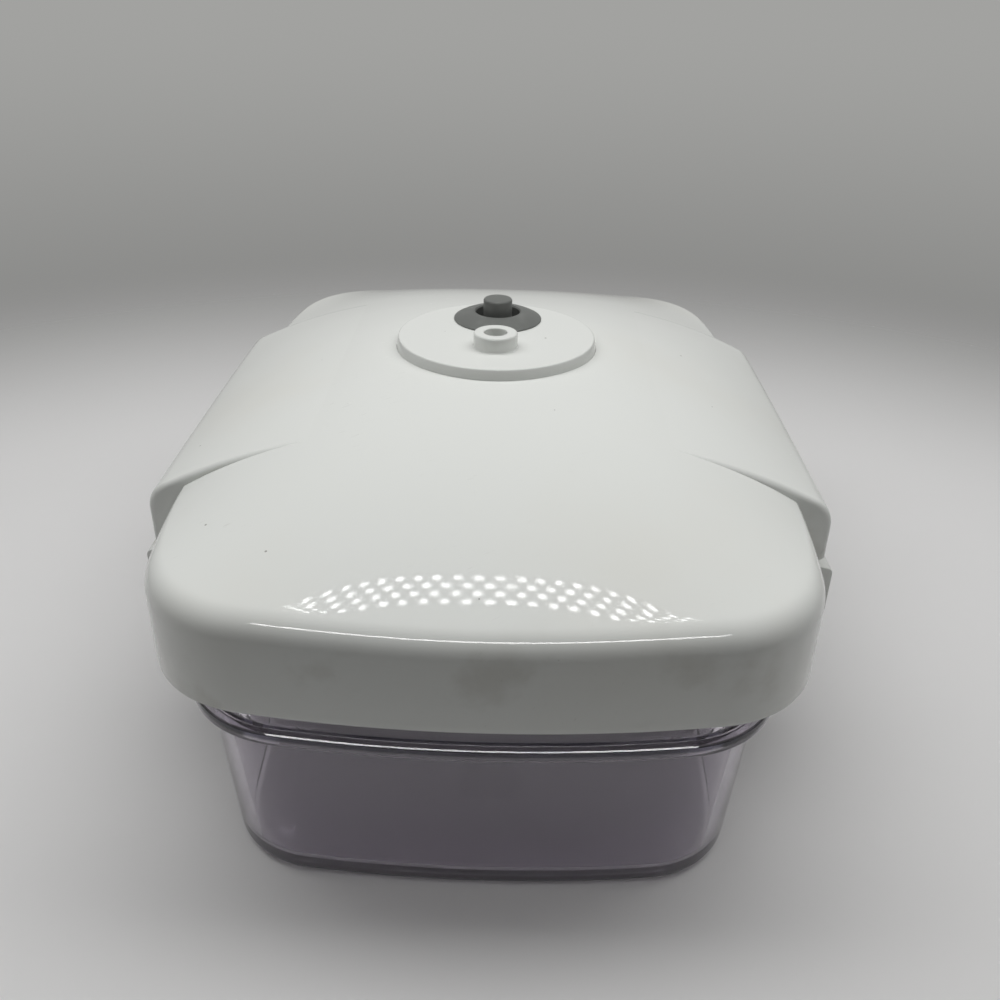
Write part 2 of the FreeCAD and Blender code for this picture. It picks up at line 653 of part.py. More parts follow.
def make_latch():
    """The right latch: knuckle, arm, finger tab and the hook that goes under the lip."""
    knuckle = (wing_inside - lid_plan.half_width) / 2 - KNUCKLE_GAP
    arm_in = lid_plan.half_width + ARM_SKIRT_GAP
    arm_out = arm_in + ARM_THICKNESS
    tab_out = wing_half_width + TAB_PROUD
    tab_top = wing_bottom - TAB_TOP_DROP
    tab_root = wing_bottom - TAB_ROOT_DROP
    tab_low = tab_top - TAB_HEIGHT
    hook_top = FLANGE_UNDERSIDE - HOOK_DROP
    hook_tip = flange_plan.half_width + HOOK_GAP
    hook_low = hook_top - HOOK_HEIGHT
    barrel = Part.makeCylinder(knuckle, LATCH_LENGTH, Vector(pivot_x, -LATCH_LENGTH / 2, pivot_z),
                               Vector(0, 1, 0))
    arm = across([(arm_in, pivot_z), (arm_in, hook_low), (arm_out, hook_low), (arm_out, pivot_z)],
                 LATCH_LENGTH)
    tab = across([(arm_out, tab_root), (arm_in, tab_root), (arm_in, tab_top - TAB_WEB),
                  (tab_out - TAB_WALL, tab_top - TAB_WEB), (tab_out - TAB_WALL, tab_low),
                  (tab_out, tab_low), (tab_out, tab_top)], WING_LENGTH - 2 * TAB_INSET)
    tab = rounded(tab, TAB_EDGE_ROUND,
                  lambda edge: edge.BoundBox.XMin > tab_out - TOUCH and edge.BoundBox.YLength > HOOK_LENGTH)
    hook = across([(hook_tip, hook_top), (hook_tip + HOOK_NOSE, hook_top), (arm_in, hook_top + HOOK_SLOPE),
                   (arm_out, hook_top + HOOK_SLOPE), (arm_out, hook_low), (hook_tip + HOOK_NOSE, hook_low),
                   (hook_tip, hook_top - HOOK_TIP)], HOOK_LENGTH)
    bore = Part.makeCylinder(PIN_DIAMETER / 2 + PIN_RUNNING_GAP, LATCH_LENGTH,
                             Vector(pivot_x, -LATCH_LENGTH / 2, pivot_z), Vector(0, 1, 0))
    return arm.fuse([barrel, tab, hook]).removeSplitter().cut(bore)


def make_latch_pin():
    """The right latch's steel pin, from the blind hole to the back face of the wing."""
    start = -wing_end_inside - PIN_BLIND_DEPTH
    return Part.makeCylinder(PIN_DIAMETER / 2, wing_half_length - start,
                             Vector(pivot_x, start, pivot_z), Vector(0, 1, 0))


def make_lid_screws():
    """The screws that hold the inner lid up against the bosses."""
    screws = []
    for x, y in screw_places:
        head = drum(SCREW_HEAD, plate_bottom - SCREW_HEAD_HEIGHT, plate_bottom, x, y)
        shank = drum(SCREW_SHANK, plate_bottom, plate_bottom + SCREW_LENGTH, x, y)
        low = plate_bottom - SCREW_HEAD_HEIGHT
        slots = []
        for wide, deep in ((RECESS_LENGTH, RECESS_WIDTH), (RECESS_WIDTH, RECESS_LENGTH)):
            slots.append(Part.makeBox(wide, deep, RECESS_DEPTH, Vector(x - wide / 2, y - deep / 2, low)))
        screws.append(head.fuse(shank).removeSplitter().cut(slots))
    return Part.makeCompound(screws)


def main():
    """Make each piece and write it to its file."""
    latch = make_latch()
    pin = make_latch_pin()
    pieces = {
        "container": make_container(),
        "lid_shell": make_lid_shell(),
        "inner_lid": make_inner_lid(),
        "main_gasket": make_main_gasket(),
        "check_valve_seat": make_check_valve_seat(),
        "check_valve": make_check_valve(),
        "button_bezel": make_button_bezel(),
        "bezel_washer": make_bezel_washer(),
        "bezel_nut": make_bezel_nut(),
        "release_button": make_release_button(),
        "release_spring": make_release_spring(),
        "valve_stem": make_valve_stem(),
        "stem_seal": make_stem_seal(),
        "stem_washer": make_stem_washer(),
        "stem_clip": make_stem_clip(),
        "latch_right": latch,
        "latch_left": mirrored(latch),
        "latch_pin_right": pin,
        "latch_pin_left": mirrored(pin),
        "lid_screws": make_lid_screws(),
    }
    os.makedirs("parts", exist_ok=True)
    for name, shape in pieces.items():
        shape.exportStep("parts/%s.step" % name)
        box = shape.BoundBox
        print("%-17s valid %s, solids %d, volume %.0f, x %.1f %.1f, y %.1f %.1f, z %.1f %.1f"
              % (name, shape.isValid(), len(shape.Solids), shape.Volume,
                 box.XMin, box.XMax, box.YMin, box.YMax, box.ZMin, box.ZMax))


main()
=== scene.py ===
"""The looks of a vacuum seal canister: a clear smoke box under a domed white lid.

Lengths are in metres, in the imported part's own frame: +Z up, the box standing on z = 0, X from latch to latch
and Y from the hose port towards the release button.
"""

import logging
from dataclasses import dataclass
from enum import Enum
from typing import Callable, Optional, Sequence, Union

import bmesh
import bpy
import numpy as np
from mathutils import Matrix, Vector


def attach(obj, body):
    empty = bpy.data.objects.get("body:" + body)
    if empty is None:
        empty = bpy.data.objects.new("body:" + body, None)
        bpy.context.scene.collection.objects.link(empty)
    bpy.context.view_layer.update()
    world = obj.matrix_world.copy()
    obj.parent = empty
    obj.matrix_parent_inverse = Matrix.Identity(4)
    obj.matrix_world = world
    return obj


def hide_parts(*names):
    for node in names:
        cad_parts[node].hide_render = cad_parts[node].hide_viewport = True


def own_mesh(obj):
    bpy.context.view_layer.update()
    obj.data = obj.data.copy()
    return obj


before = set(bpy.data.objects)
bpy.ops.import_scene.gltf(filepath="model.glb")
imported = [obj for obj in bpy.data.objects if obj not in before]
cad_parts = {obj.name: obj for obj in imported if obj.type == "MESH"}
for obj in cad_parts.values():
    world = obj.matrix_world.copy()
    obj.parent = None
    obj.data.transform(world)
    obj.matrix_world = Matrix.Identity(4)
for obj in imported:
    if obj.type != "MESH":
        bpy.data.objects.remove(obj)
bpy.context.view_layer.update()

log = logging.getLogger("canister")

Array = np.ndarray
Material = bpy.types.Material
Pair = tuple[float, float]
Triple = tuple[float, float, float]
Quad = tuple[float, float, float, float]
Colour = Triple
Value = Union["Sock", float, Sequence[float]]

WELD = 1e-7
SHARP_ANGLE = np.radians(32.0)
BEVEL_STEPS = 3
SLOPE_STEP = 1e-5
SETTLING = 8
TURN_STEPS = 120
SPECK_CORE = 0.6
SPECK_SOFT = 0.02


class Body(Enum):
    """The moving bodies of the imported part."""

    BOX = "container"
    LID = "lid"
    BUTTON = "release_button"
    LATCH_RIGHT = "latch_right"
    LATCH_LEFT = "latch_left"


class Slot(Enum):
    """The record's material slots."""

    CLEAR = "smoke_clear"
    WHITE = "white_plastic"
    GREY = "grey_plastic"
    SOFT = "silicone"
    STEEL = "steel"


class Side(Enum):
    """The two sides that carry a wing and a latch. The value is the sign of X there."""

    RIGHT = 1
    LEFT = -1

    @property
    def word(self) -> str:
        """The side's name as the nodes spell it."""
        return self.name.lower()


# Shader nodes


def math_operator(operation: str, swapped: bool = False) -> Callable[["Sock", Value], "Sock"]:
    """A method that adds a Math node for one of Python's operators.

    Args:
        operation: the Math node's operation.
        swapped: whether the node takes the method's own socket second.

    Returns:
        The method.
    """
    def method(self: "Sock", other: Value) -> "Sock":
        """The node's result."""
        first, second = (other, self) if swapped else (self, other)
        return self.paint.node("ShaderNodeMath", {"operation": operation}, {0: first, 1: second})
    return method


class Sock:
    """A node's output. Python's operators on it add Math nodes."""

    def __init__(self, paint: "Paint", socket: Optional[bpy.types.NodeSocket]) -> None:
        """Wraps one output of a tree's node."""
        self.paint = paint
        self.socket = socket

    __add__ = math_operator("ADD")
    __radd__ = math_operator("ADD", swapped=True)
    __sub__ = math_operator("SUBTRACT")
    __rsub__ = math_operator("SUBTRACT", swapped=True)
    __mul__ = math_operator("MULTIPLY")
    __rmul__ = math_operator("MULTIPLY", swapped=True)
    __mod__ = math_operator("FLOORED_MODULO")
    __pow__ = math_operator("POWER")


class Paint:
    """One node tree, and the only place where nodes are made."""

    def __init__(self, tree: bpy.types.NodeTree) -> None:
        """Starts from an empty tree."""
        self.tree = tree
        self.tree.nodes.clear()

    def node(self, kind: str, settings: dict[str, object], sockets: dict[Union[str, int], Value],
             output: Union[str, int] = 0) -> Sock:
        """Adds a node.

        Args:
            kind: the node's type.
            settings: its properties, set before its sockets.
            sockets: a value or a link for each input that is used.
            output: which output to return.

        Returns:
            The chosen output, or an empty one where the node has none.
        """
        made = self.tree.nodes.new(kind)
        for key, value in settings.items():
            setattr(made, key, value)
        for key, value in sockets.items():
            if isinstance(value, Sock):
                self.tree.links.new(value.socket, made.inputs[key])
            else:
                made.inputs[key].default_value = value
        return Sock(self, made.outputs[output] if made.outputs else None)

    def place(self) -> Sock:
        """The piece's own coordinates, in metres."""
        return self.node("ShaderNodeTexCoord", {}, {}, "Object")

    def axes(self, where: Sock) -> tuple[Sock, Sock, Sock]:
        """The three coordinates of a place or a direction."""
        parts = self.node("ShaderNodeSeparateXYZ", {}, {0: where}).socket.node.outputs
        return Sock(self, parts[0]), Sock(self, parts[1]), Sock(self, parts[2])

    def stretched(self, scale: Sequence[float], turn: Sequence[float]) -> Sock:
        """The piece's coordinates, turned and then scaled along each axis."""
        sockets = {"Vector": self.place(), "Scale": scale, "Rotation": turn}
        return self.node("ShaderNodeMapping", {"vector_type": "TEXTURE"}, sockets)

    def noise(self, scale: float, detail: float, where: Optional[Sock] = None) -> Sock:
        """Soft noise about 0.5, with so many waves to a metre."""
        sockets = {"Vector": where or self.place(), "Scale": scale, "Detail": detail}
        return self.node("ShaderNodeTexNoise", {}, sockets, "Fac")

    def band(self, value: Sock, low: float, high: float) -> Sock:
        """A smooth step from 0 at low to 1 at high."""
        settings = {"interpolation_type": "SMOOTHSTEP"}
        return self.node("ShaderNodeMapRange", settings, {"Value": value, "From Min": low, "From Max": high})

    def patches(self, scale: float, detail: float, low: float, high: float) -> Sock:
        """Soft patches: noise cut smoothly between two levels."""
        return self.band(self.noise(scale, detail), low, high)

    def specks(self, scale: float, size: float, share: float) -> Sock:
        """Round specks scattered over the surface.

        Args:
            scale: cells to a metre, each of which may hold one speck.
            size: a speck's radius as a share of its cell.
            share: the share of cells that have a speck.

        Returns:
            1 on a speck and 0 off it.
        """
        sockets = {"Vector": self.place(), "Scale": scale}
        cells = self.node("ShaderNodeTexVoronoi", {}, sockets, "Distance")
        chance = self.node("ShaderNodeTexVoronoi", {}, sockets, "Color")
        draw = self.node("ShaderNodeSeparateColor", {}, {0: chance})
        dot = 1.0 - self.band(cells, SPECK_CORE * size, size)
        return dot * self.band(draw, 1.0 - share, 1.0 - share + SPECK_SOFT)

    def mix(self, factor: Value, first: Value, second: Value) -> Sock:
        """A colour between two others."""
        settings = {"data_type": "RGBA"}
        return self.node("ShaderNodeMix", settings, {0: factor, 6: opaque(first), 7: opaque(second)}, 2)

    def grain(self, scale: float, detail: float, strength: float, depth: float) -> Sock:
        """A normal that follows a fine noise."""
        sockets = {"Height": self.noise(scale, detail), "Strength": strength, "Distance": depth}
        return self.node("ShaderNodeBump", {}, sockets)

    def rays(self, *kinds: str) -> Sock:
        """1 for rays of any of these kinds, and 0 for others."""
        masks = [self.node("ShaderNodeLightPath", {}, {}, kind) for kind in kinds]
        return self.band(sum(masks[1:], masks[0]), 0.0, 1.0)

    def surface(self, sockets: dict[Union[str, int], Value], inside: Optional[Sock] = None) -> None:
        """Ends the tree in a Principled shader with these inputs, and in what the piece is filled with.

        Args:
            sockets: a value or a link for each input of the shader that is used.
            inside: what fills the piece, or None.
        """
        ends = {"Surface": self.node("ShaderNodeBsdfPrincipled", {}, sockets)}
        if inside:
            ends["Volume"] = inside
        self.node("ShaderNodeOutputMaterial", {}, ends)


def opaque(colour: Value) -> Value:
    """A colour of three numbers with its alpha added. A socket stays as it is."""
    return colour if isinstance(colour, Sock) else (*colour, 1.0)


def new_paint(name: str) -> tuple[Material, Paint]:
    """A new material and its empty tree.

    Args:
        name: the material's name.

    Returns:
        The material, and its tree.
    """
    material = bpy.data.materials.new(name)
    material.use_nodes = True
    return material, Paint(material.node_tree)


# Finishes


@dataclass(frozen=True)
class WhitePlastic:
    """Glossy white moulding, slightly yellowed, with specks of dirt, faint scuffs and smudges."""

    colour: Colour = (0.80, 0.815, 0.785)
    aged: Colour = (0.765, 0.75, 0.68)
    dirt: Colour = (0.16, 0.15, 0.13)
    scuff: Colour = (0.60, 0.60, 0.57)
    stain: Colour = (0.46, 0.44, 0.38)
    aging: float = 0.35
    soiling: float = 0.65
    scuffing: float = 0.35
    staining: float = 0.32
    tone: Quad = (14.0, 3.0, 0.45, 0.75)
    specks: Triple = (70.0, 0.026, 0.40)
    fine_specks: Triple = (190.0, 0.045, 0.14)
    streak: Pair = (30.0, 2.0)
    streak_size: Triple = (0.16, 0.012, 0.05)
    streak_turn: Triple = (0.2, 0.1, 0.5)
    streaked: Pair = (0.69, 0.73)
    scuffed: Quad = (22.0, 2.0, 0.5, 0.65)
    stains: Quad = (48.0, 6.0, 0.53, 0.68)
    stained: Pair = (0.066, 0.078)
    smudge: Quad = (55.0, 5.0, 0.35, 0.8)
    grain: Quad = (1400.0, 2.0, 0.02, 0.0001)
    gloss: float = 0.035
    smudge_dulls: float = 0.02
    scuff_dulls: float = 0.25
    index: float = 1.5

    def material(self) -> Material:
        """The material: tone, dirt, scuffs and low stains in the colour, smudges in the gloss, a fine grain.

        Returns:
            The material, ready to go on a piece.
        """
        material, paint = new_paint("white_moulding")
        streak = paint.noise(*self.streak, paint.stretched(self.streak_size, self.streak_turn))
        scuffs = paint.band(streak, *self.streaked) * paint.patches(*self.scuffed)
        specks = paint.specks(*self.specks) + paint.specks(*self.fine_specks)
        _, _, height = paint.axes(paint.place())
        stains = paint.patches(*self.stains) * (1.0 - paint.band(height, *self.stained))
        shade = paint.mix(paint.patches(*self.tone) * self.aging, self.colour, self.aged)
        shade = paint.mix(scuffs * self.scuffing, shade, self.scuff)
        shade = paint.mix(stains * self.staining, shade, self.stain)
        shade = paint.mix(paint.band(specks, 0.0, 1.0) * self.soiling, shade, self.dirt)
        rough = self.gloss + self.smudge_dulls * paint.patches(*self.smudge) + self.scuff_dulls * scuffs
        paint.surface({"Base Color": shade, "Roughness": rough, "IOR": self.index,
                       "Normal": paint.grain(*self.grain)})
        return material


@dataclass(frozen=True)
class SmokePlastic:
    """Clear plastic with a violet-grey smoke tint, polished, with a little haze, a few specks and a band of painted
    shade along the lip.
    """

    tint: Colour = (0.88, 0.845, 0.905)
    pale: Colour = (0.78, 0.765, 0.80)
    # painted shade: the dark colour put into a band along the lip
    lip_shade: Colour = (0.07, 0.068, 0.11)
    smoke: Colour = (0.52, 0.455, 0.57)
    depth: float = 25.0
    # heights where the painted shade along the lip fades in and out
    lip: Quad = (0.0432, 0.0441, 0.0449, 0.0451)
    haze: Quad = (45.0, 4.0, 0.55, 0.85)
    specks: Triple = (110.0, 0.03, 0.35)
    grain: Quad = (90.0, 2.0, 0.03, 0.0002)
    haze_pales: float = 0.25
    specks_pale: float = 0.7
    gloss: float = 0.02
    haze_dulls: float = 0.05
    specks_dull: float = 0.2
    index: float = 1.52
    clear: float = 0.92

    def material(self) -> Material:
        """The material: a clear body, darker with depth, a band of painted shade along the lip, haze and specks.

        Returns:
            The material, ready to go on a piece.
        """
        material, paint = new_paint("smoke_clear_plastic")
        _, _, height = paint.axes(paint.place())
        lip = paint.band(height, *self.lip[:2]) * (1.0 - paint.band(height, *self.lip[2:]))
        haze = paint.patches(*self.haze)
        specks = paint.specks(*self.specks)
        shade = paint.mix(haze * self.haze_pales + specks * self.specks_pale, self.tint, self.pale)
        # painted shade: the lip's band is darkened in the colour, where the lip shows dark
        shade = paint.mix(lip, shade, self.lip_shade)
        rough = self.gloss + self.haze_dulls * haze + self.specks_dull * specks
        smoke = paint.node("ShaderNodeVolumeAbsorption", {}, {"Color": opaque(self.smoke), "Density": self.depth})
        paint.surface({"Base Color": shade, "Roughness": rough, "IOR": self.index,
                       "Transmission Weight": self.clear, "Normal": paint.grain(*self.grain)}, smoke)
        return material


@dataclass(frozen=True)
class Mottled:
    """A satin finish of two colours in soft patches, duller in the patches, with a fine grain."""

    name: str
    colour: Colour
    worn: Colour
    patches: Quad
    share: float
    gloss: float
    dulling: float
    grain: Quad
    index: float = 1.5

    def material(self) -> Material:
        """The material: the patches in the colour and the gloss, and the grain in the normal.

        Returns:
            The material, ready to go on a piece.
        """
        material, paint = new_paint(self.name)
        wear = paint.patches(*self.patches)
        shade = paint.mix(wear * self.share, self.colour, self.worn)
        paint.surface({"Base Color": shade, "Roughness": self.gloss + self.dulling * wear, "IOR": self.index,
                       "Normal": paint.grain(*self.grain)})
        return material


GREY_PLASTIC = Mottled("grey_moulding", colour=(0.150, 0.156, 0.148), worn=(0.26, 0.265, 0.255),
                       patches=(260.0, 4.0, 0.5, 0.8), share=0.3, gloss=0.42, dulling=0.15,
                       grain=(3200.0, 3.0, 0.15, 0.0001))
SILICONE = Mottled("milky_silicone", colour=(0.70, 0.70, 0.67), worn=(0.58, 0.57, 0.54),
                   patches=(120.0, 4.0, 0.4, 0.75), share=0.5, gloss=0.48, dulling=0.2,
                   grain=(900.0, 2.0, 0.1, 0.0002))


@dataclass(frozen=True)
class Steel:
    """Drawn bright steel with fine lines along its length."""

    colour: Colour = (0.62, 0.63, 0.64)
    dull: Colour = (0.44, 0.44, 0.45)
    patches: Quad = (300.0, 3.0, 0.45, 0.8)
    share: float = 0.6
    lines: Pair = (900.0, 2.0)
    line_size: Triple = (1.0, 12.0, 1.0)
    line_turn: Triple = (0.0, 0.0, 0.0)
    gloss: float = 0.22
    lines_dull: float = 0.15

    def material(self) -> Material:
        """The material: drawing lines in the gloss, duller patches in the colour.

        Returns:
            The material, ready to go on a piece.
        """
        material, paint = new_paint("drawn_steel")
        lines = paint.noise(*self.lines, paint.stretched(self.line_size, self.line_turn))
        shade = paint.mix(paint.patches(*self.patches) * self.share, self.colour, self.dull)
        paint.surface({"Base Color": shade, "Metallic": 1.0, "Roughness": self.gloss + self.lines_dull * lines})
        return material


# Surfaces


def smooth_step(value: Array, low: float, high: float) -> Array:
    """3 t^2 - 2 t^3, where t runs from 0 at low to 1 at high and stays there beyond them."""
    t = np.clip((value - low) / (high - low), 0.0, 1.0)
    return t * t * (3.0 - 2.0 * t)


def points_of(x: Union[float, Array], y: Union[float, Array], z: Union[float, Array]) -> Array:
    """Points from their three coordinates, each an array or a value that all of them share."""
    return np.stack(np.broadcast_arrays(x, y, z), axis=-1)


def level(points: Array, height: Union[float, Array]) -> Array:
    """Plan points of shape (n, 2), lifted to one height or to n heights."""
    return points_of(points[:, 0], points[:, 1], height)


def all_round(steps: int) -> Array:
    """Even angles for a whole turn."""
    return np.linspace(0.0, 2.0 * np.pi, steps, endpoint=False)


def directions(angles: Array) -> Array:
    """The plan directions (cos, sin), of shape (n, 2)."""
    return np.column_stack([np.cos(angles), np.sin(angles)])


def rounded_path(corners: Sequence[Triple], steps: int = 6) -> Array:
    """An open flat path through corners, each with its own round.

    A round of radius r between two straight runs that meet at an angle 2h touches each run r / tan(h) from the
    corner, and its centre lies r / sin(h) from the corner along the line that halves the angle. Its points turn
    evenly about that centre.

    Args:
        corners: two coordinates and a radius for each corner. The first and last corners stay sharp.
        steps: the points of each round, less one.

    Returns:
        The points, of shape (n, 2).
    """
    spots = np.array(corners, float)[:, :2]
    runs = [spots[:1]]
    for before, (x, y, radius), after in zip(spots, corners[1:-1], spots[2:]):
        spot = np.array([x, y])
        back = (before - spot) / np.linalg.norm(before - spot)
        ahead = (after - spot) / np.linalg.norm(after - spot)
        half = np.arccos(np.clip(back @ ahead, -1.0, 1.0)) / 2.0
        if radius == 0.0:
            runs.append(spot[None])
            continue
        inward = (back + ahead) / np.linalg.norm(back + ahead)
        centre = spot + inward * radius / np.sin(half)
        start = spot + back * radius / np.tan(half) - centre
        end = spot + ahead * radius / np.tan(half) - centre
        turn = np.pi - 2.0 * half
        t = np.linspace(0.0, 1.0, steps + 1)[:, None]
        runs.append(centre + (np.sin((1.0 - t) * turn) * start + np.sin(t * turn) * end) / np.sin(turn))
    return np.concatenate(runs + [spots[-1:]])


def turned(path: Array, y: float = 0.0, angles: Optional[Array] = None) -> Array:
    """A path of (radius, height) points turned about an upright axis.

    Each row is (r cos a, y + r sin a, z) for every angle a.

    Args:
        path: the points, of shape (n, 2).
        y: where the axis stands on the Y axis.
        angles: the angles of a row's points, or none for even steps all round.

    Returns:
        Rows of points, of shape (n, angles, 3).
    """
    angles = all_round(TURN_STEPS) if angles is None else angles
    radius, height = path[:, :1], path[:, 1:]
    return points_of(radius * np.cos(angles), y + radius * np.sin(angles), height)


@dataclass(frozen=True)
class Outline:
    """A rounded rectangle seen from above, whose four sides bow outwards."""

    half_width: float
    half_length: float
    corner: float
    end_bow: float
    side_bow: float
    side_steps: int = 44
    corner_steps: int = 26
    end_steps: int = 40

    def inset(self, step: float) -> "Outline":
        """The parallel outline, a step further in."""
        return Outline(self.half_width - step, self.half_length - step, self.corner - step,
                       self.end_bow - step, self.side_bow - step)

    def trace(self) -> tuple[Array, Array]:
        """Points all round and the outward direction at each.

        A quarter is a side arc, a corner arc and an end arc that touch: the corner's centre lies end_bow - corner
        from the end arc's centre and side_bow - corner from the side arc's. Points are centre + radius * (cos, sin),
        and the other quarters mirror the first.

        Returns:
            The points and the directions, each of shape (n, 2).
        """
        side_centre = np.array([self.half_width - self.side_bow, 0.0])
        end_centre = np.array([0.0, self.half_length - self.end_bow])
        to_end = self.end_bow - self.corner
        to_side = self.side_bow - self.corner
        span = np.linalg.norm(side_centre - end_centre)
        unit = (side_centre - end_centre) / span
        along = (to_end ** 2 - to_side ** 2 + span ** 2) / (2.0 * span)
        across = np.sqrt(to_end ** 2 - along ** 2)
        centre = end_centre + unit * along + np.array([unit[1], -unit[0]]) * across
        side_turn = np.arctan2(centre[1], centre[0] - side_centre[0])
        end_turn = np.arctan2(centre[1] - end_centre[1], centre[0])
        arcs = ((side_centre, self.side_bow, 0.0, side_turn, self.side_steps),
                (centre, self.corner, side_turn, end_turn, self.corner_steps),
                (end_centre, self.end_bow, end_turn, np.pi / 2.0, self.end_steps))
        angles = [np.linspace(first, last, steps, endpoint=False) for _, _, first, last, steps in arcs]
        points = [middle + radius * directions(turn) for (middle, radius, *_), turn in zip(arcs, angles)]
        ways = directions(np.concatenate(angles + [[np.pi / 2.0]]))
        spots = np.concatenate(points + [[[0.0, self.half_length]]])
        return self._mirrored(spots), self._mirrored(ways)

    @staticmethod
    def _mirrored(quarter: Array) -> Array:
        """A quarter's rows followed by its three mirror images, with no row twice."""
        half = np.concatenate([quarter, quarter[-2::-1] * (-1.0, 1.0)])
        return np.concatenate([half, -half[1:-1]])


def swept(outline: Outline, path: Array) -> Array:
    """A path carried round an outline: each row is point - direction * inside, at the path's height.

    Args:
        outline: the outline that the path's distances are measured from.
        path: distances inside the outline and heights, of shape (n, 2).

    Returns:
        Rows of points, of shape (n, points of the outline, 3).
    """
    points, ways = outline.trace()
    flat = points[None] - ways[None] * path[:, :1, None]
    return points_of(flat[..., 0], flat[..., 1], path[:, 1:])


class Form:
    """Patches of one piece, gathered into one closed mesh."""

    def __init__(self) -> None:
        """Starts with no patch."""
        self.points: list[Array] = []
        self.faces: list[list[int]] = []
        self.smooth: list[bool] = []
        self.count = 0

    def _add(self, points: Array, faces: list[list[int]], smooth: bool) -> None:
        """Takes in points, and faces that count from the first of them.

        Args:
            points: the new points, of shape (n, 3).
            faces: the points of each face, counted from the first new one.
            smooth: whether the faces are shaded smooth.
        """
        self.points.append(points)
        self.faces += [[self.count + i for i in face] for face in faces]
        self.smooth += [smooth] * len(faces)
        self.count += len(points)

    def grid(self, points: Array, ring: bool = False, loop: bool = False) -> "Form":
        """Adds a grid as quads.

        Args:
            points: rows of points, of shape (rows, columns, 3).
            ring: joins each row's last point to its first.
            loop: joins the last row to the first.

        Returns:
            The form itself.
        """
        rows, columns = points.shape[:2]
        index = np.arange(rows * columns).reshape(rows, columns)
        index = np.vstack([index, index[:1]]) if loop else index
        index = np.hstack([index, index[:, :1]]) if ring else index
        quads = np.stack([index[:-1, :-1], index[:-1, 1:], index[1:, 1:], index[1:, :-1]], axis=-1)
        self._add(points.reshape(-1, 3), quads.reshape(-1, 4).tolist(), True)
        return self

    def face(self, points: Array) -> "Form":
        """Adds one flat face through points of shape (n, 3)."""
        self._add(points, [list(range(len(points)))], False)
        return self

    def prism(self, section: Array, half_length: float) -> "Form":
        """Adds a section of (x, z) points, run along Y from end to end and closed by flat faces.

        Args:
            section: the points (x, z) round the section, of shape (n, 2).
            half_length: how far the prism reaches each way along Y.

        Returns:
            The form itself.
        """
        ends = np.array([[-half_length], [half_length]])
        rows = points_of(section[:, 0], ends, section[:, 1])
        self.grid(rows, ring=True)
        return self.face(rows[0]).face(rows[1])

    def piece(self, name: str, mirror: float = 1.0, bevel: float = 0.0) -> bpy.types.Object:
        """Makes the object: welds the patches, points the faces outwards and marks the sharp edges.

        Args:
            name: the piece's name.
            mirror: the sign that X is multiplied by.
            bevel: the width of the round on sharp edges, or 0.

        Returns:
            The object, at the origin, with its place in its mesh.
        """
        mesh = bpy.data.meshes.new(name)
        points = np.concatenate(self.points) * (mirror, 1.0, 1.0)
        mesh.from_pydata(points.tolist(), [], self.faces)
        mesh.polygons.foreach_set("use_smooth", self.smooth)
        work = bmesh.new()
        work.from_mesh(mesh)
        bmesh.ops.remove_doubles(work, verts=work.verts, dist=WELD)
        bmesh.ops.recalc_face_normals(work, faces=work.faces)
        work.to_mesh(mesh)
        work.free()
        made = new_object(name, mesh)
        if bevel:
            soften(made, bevel)
        made.data.set_sharp_from_angle(angle=SHARP_ANGLE)
        return made


def new_object(name: str, data: bpy.types.ID) -> bpy.types.Object:
    """A new object in the scene, at the origin.

    Args:
        name: the object's name.
        data: its mesh, lamp or camera.

    Returns:
        The object.
    """
    made = bpy.data.objects.new(name, data)
    bpy.context.scene.collection.objects.link(made)
    return made


def soften(piece: bpy.types.Object, width: float) -> None:
    """Rounds a piece's sharp edges and keeps the result as its mesh.

    Args:
        piece: the object whose edges are rounded.
        width: the width of the round.
    """
    round_edges = piece.modifiers.new("round_edges", "BEVEL")
    round_edges.width = width
    round_edges.segments = BEVEL_STEPS
    round_edges.limit_method = "ANGLE"
    round_edges.angle_limit = SHARP_ANGLE
    graph = bpy.context.evaluated_depsgraph_get()
    mesh = bpy.data.meshes.new_from_object(piece.evaluated_get(graph))
    piece.modifiers.clear()
    piece.data = mesh
    piece.data.polygons.foreach_set("use_smooth", np.ones(len(mesh.polygons), bool))


@dataclass(frozen=True)
class Look:
    """A finish that has been made, and the record's slot that it fills."""

    material: Material
    slot: Slot


def dress(piece: bpy.types.Object, look: Look, body: Body, node: str) -> None:
    """Gives a piece its finish and its body, and hides the node that it stands for.

    Args:
        piece: the finished object.
        look: its finish and slot.
        body: the body that it rides on.
        node: the node that it stands for.
    """
    piece.data.materials.clear()
    piece.data.materials.append(look.material)
    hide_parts(node)
    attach(piece, body.value)
    log.info("%s rides on %s with %d faces", piece.name, body.value, len(piece.data.polygons))


# The canister

LIP_OUTLINE = Outline(0.0688, 0.1098, 0.026, 0.300, 1.500)
RIM_OUTLINE = LIP_OUTLINE.inset(0.0018)
WALL_OUTLINE = Outline(0.0653, 0.1082, 0.0263, 0.345, 1.500)
LID_OUTLINE = Outline(0.0755, 0.1116, 0.0278, 0.3018, 1.500)
RIM_TOP = 0.0580
PLATE_BOTTOM = 0.0600
PLATE_TOP = 0.0625
CROWN = 0.0941
DISC_TOP = 0.0960
DISC_BOTTOM = 0.0935
TOWER_RADIUS = 0.0275
PORT_Y = -0.010
VALVE_Y = 0.013
POPPET_BORE = 0.0015
POPPET_BOTTOM = 0.0775
PIVOT = (0.0785, 0.0612)

# Rounds of edges, from the finest
HAIR = 0.0001
FINE = 0.0002
EASED = 0.0003
ROUND = 0.0004
EDGE = 0.0005
BOLD = 0.0006
BROAD = 0.0008
WIDE = 0.0010


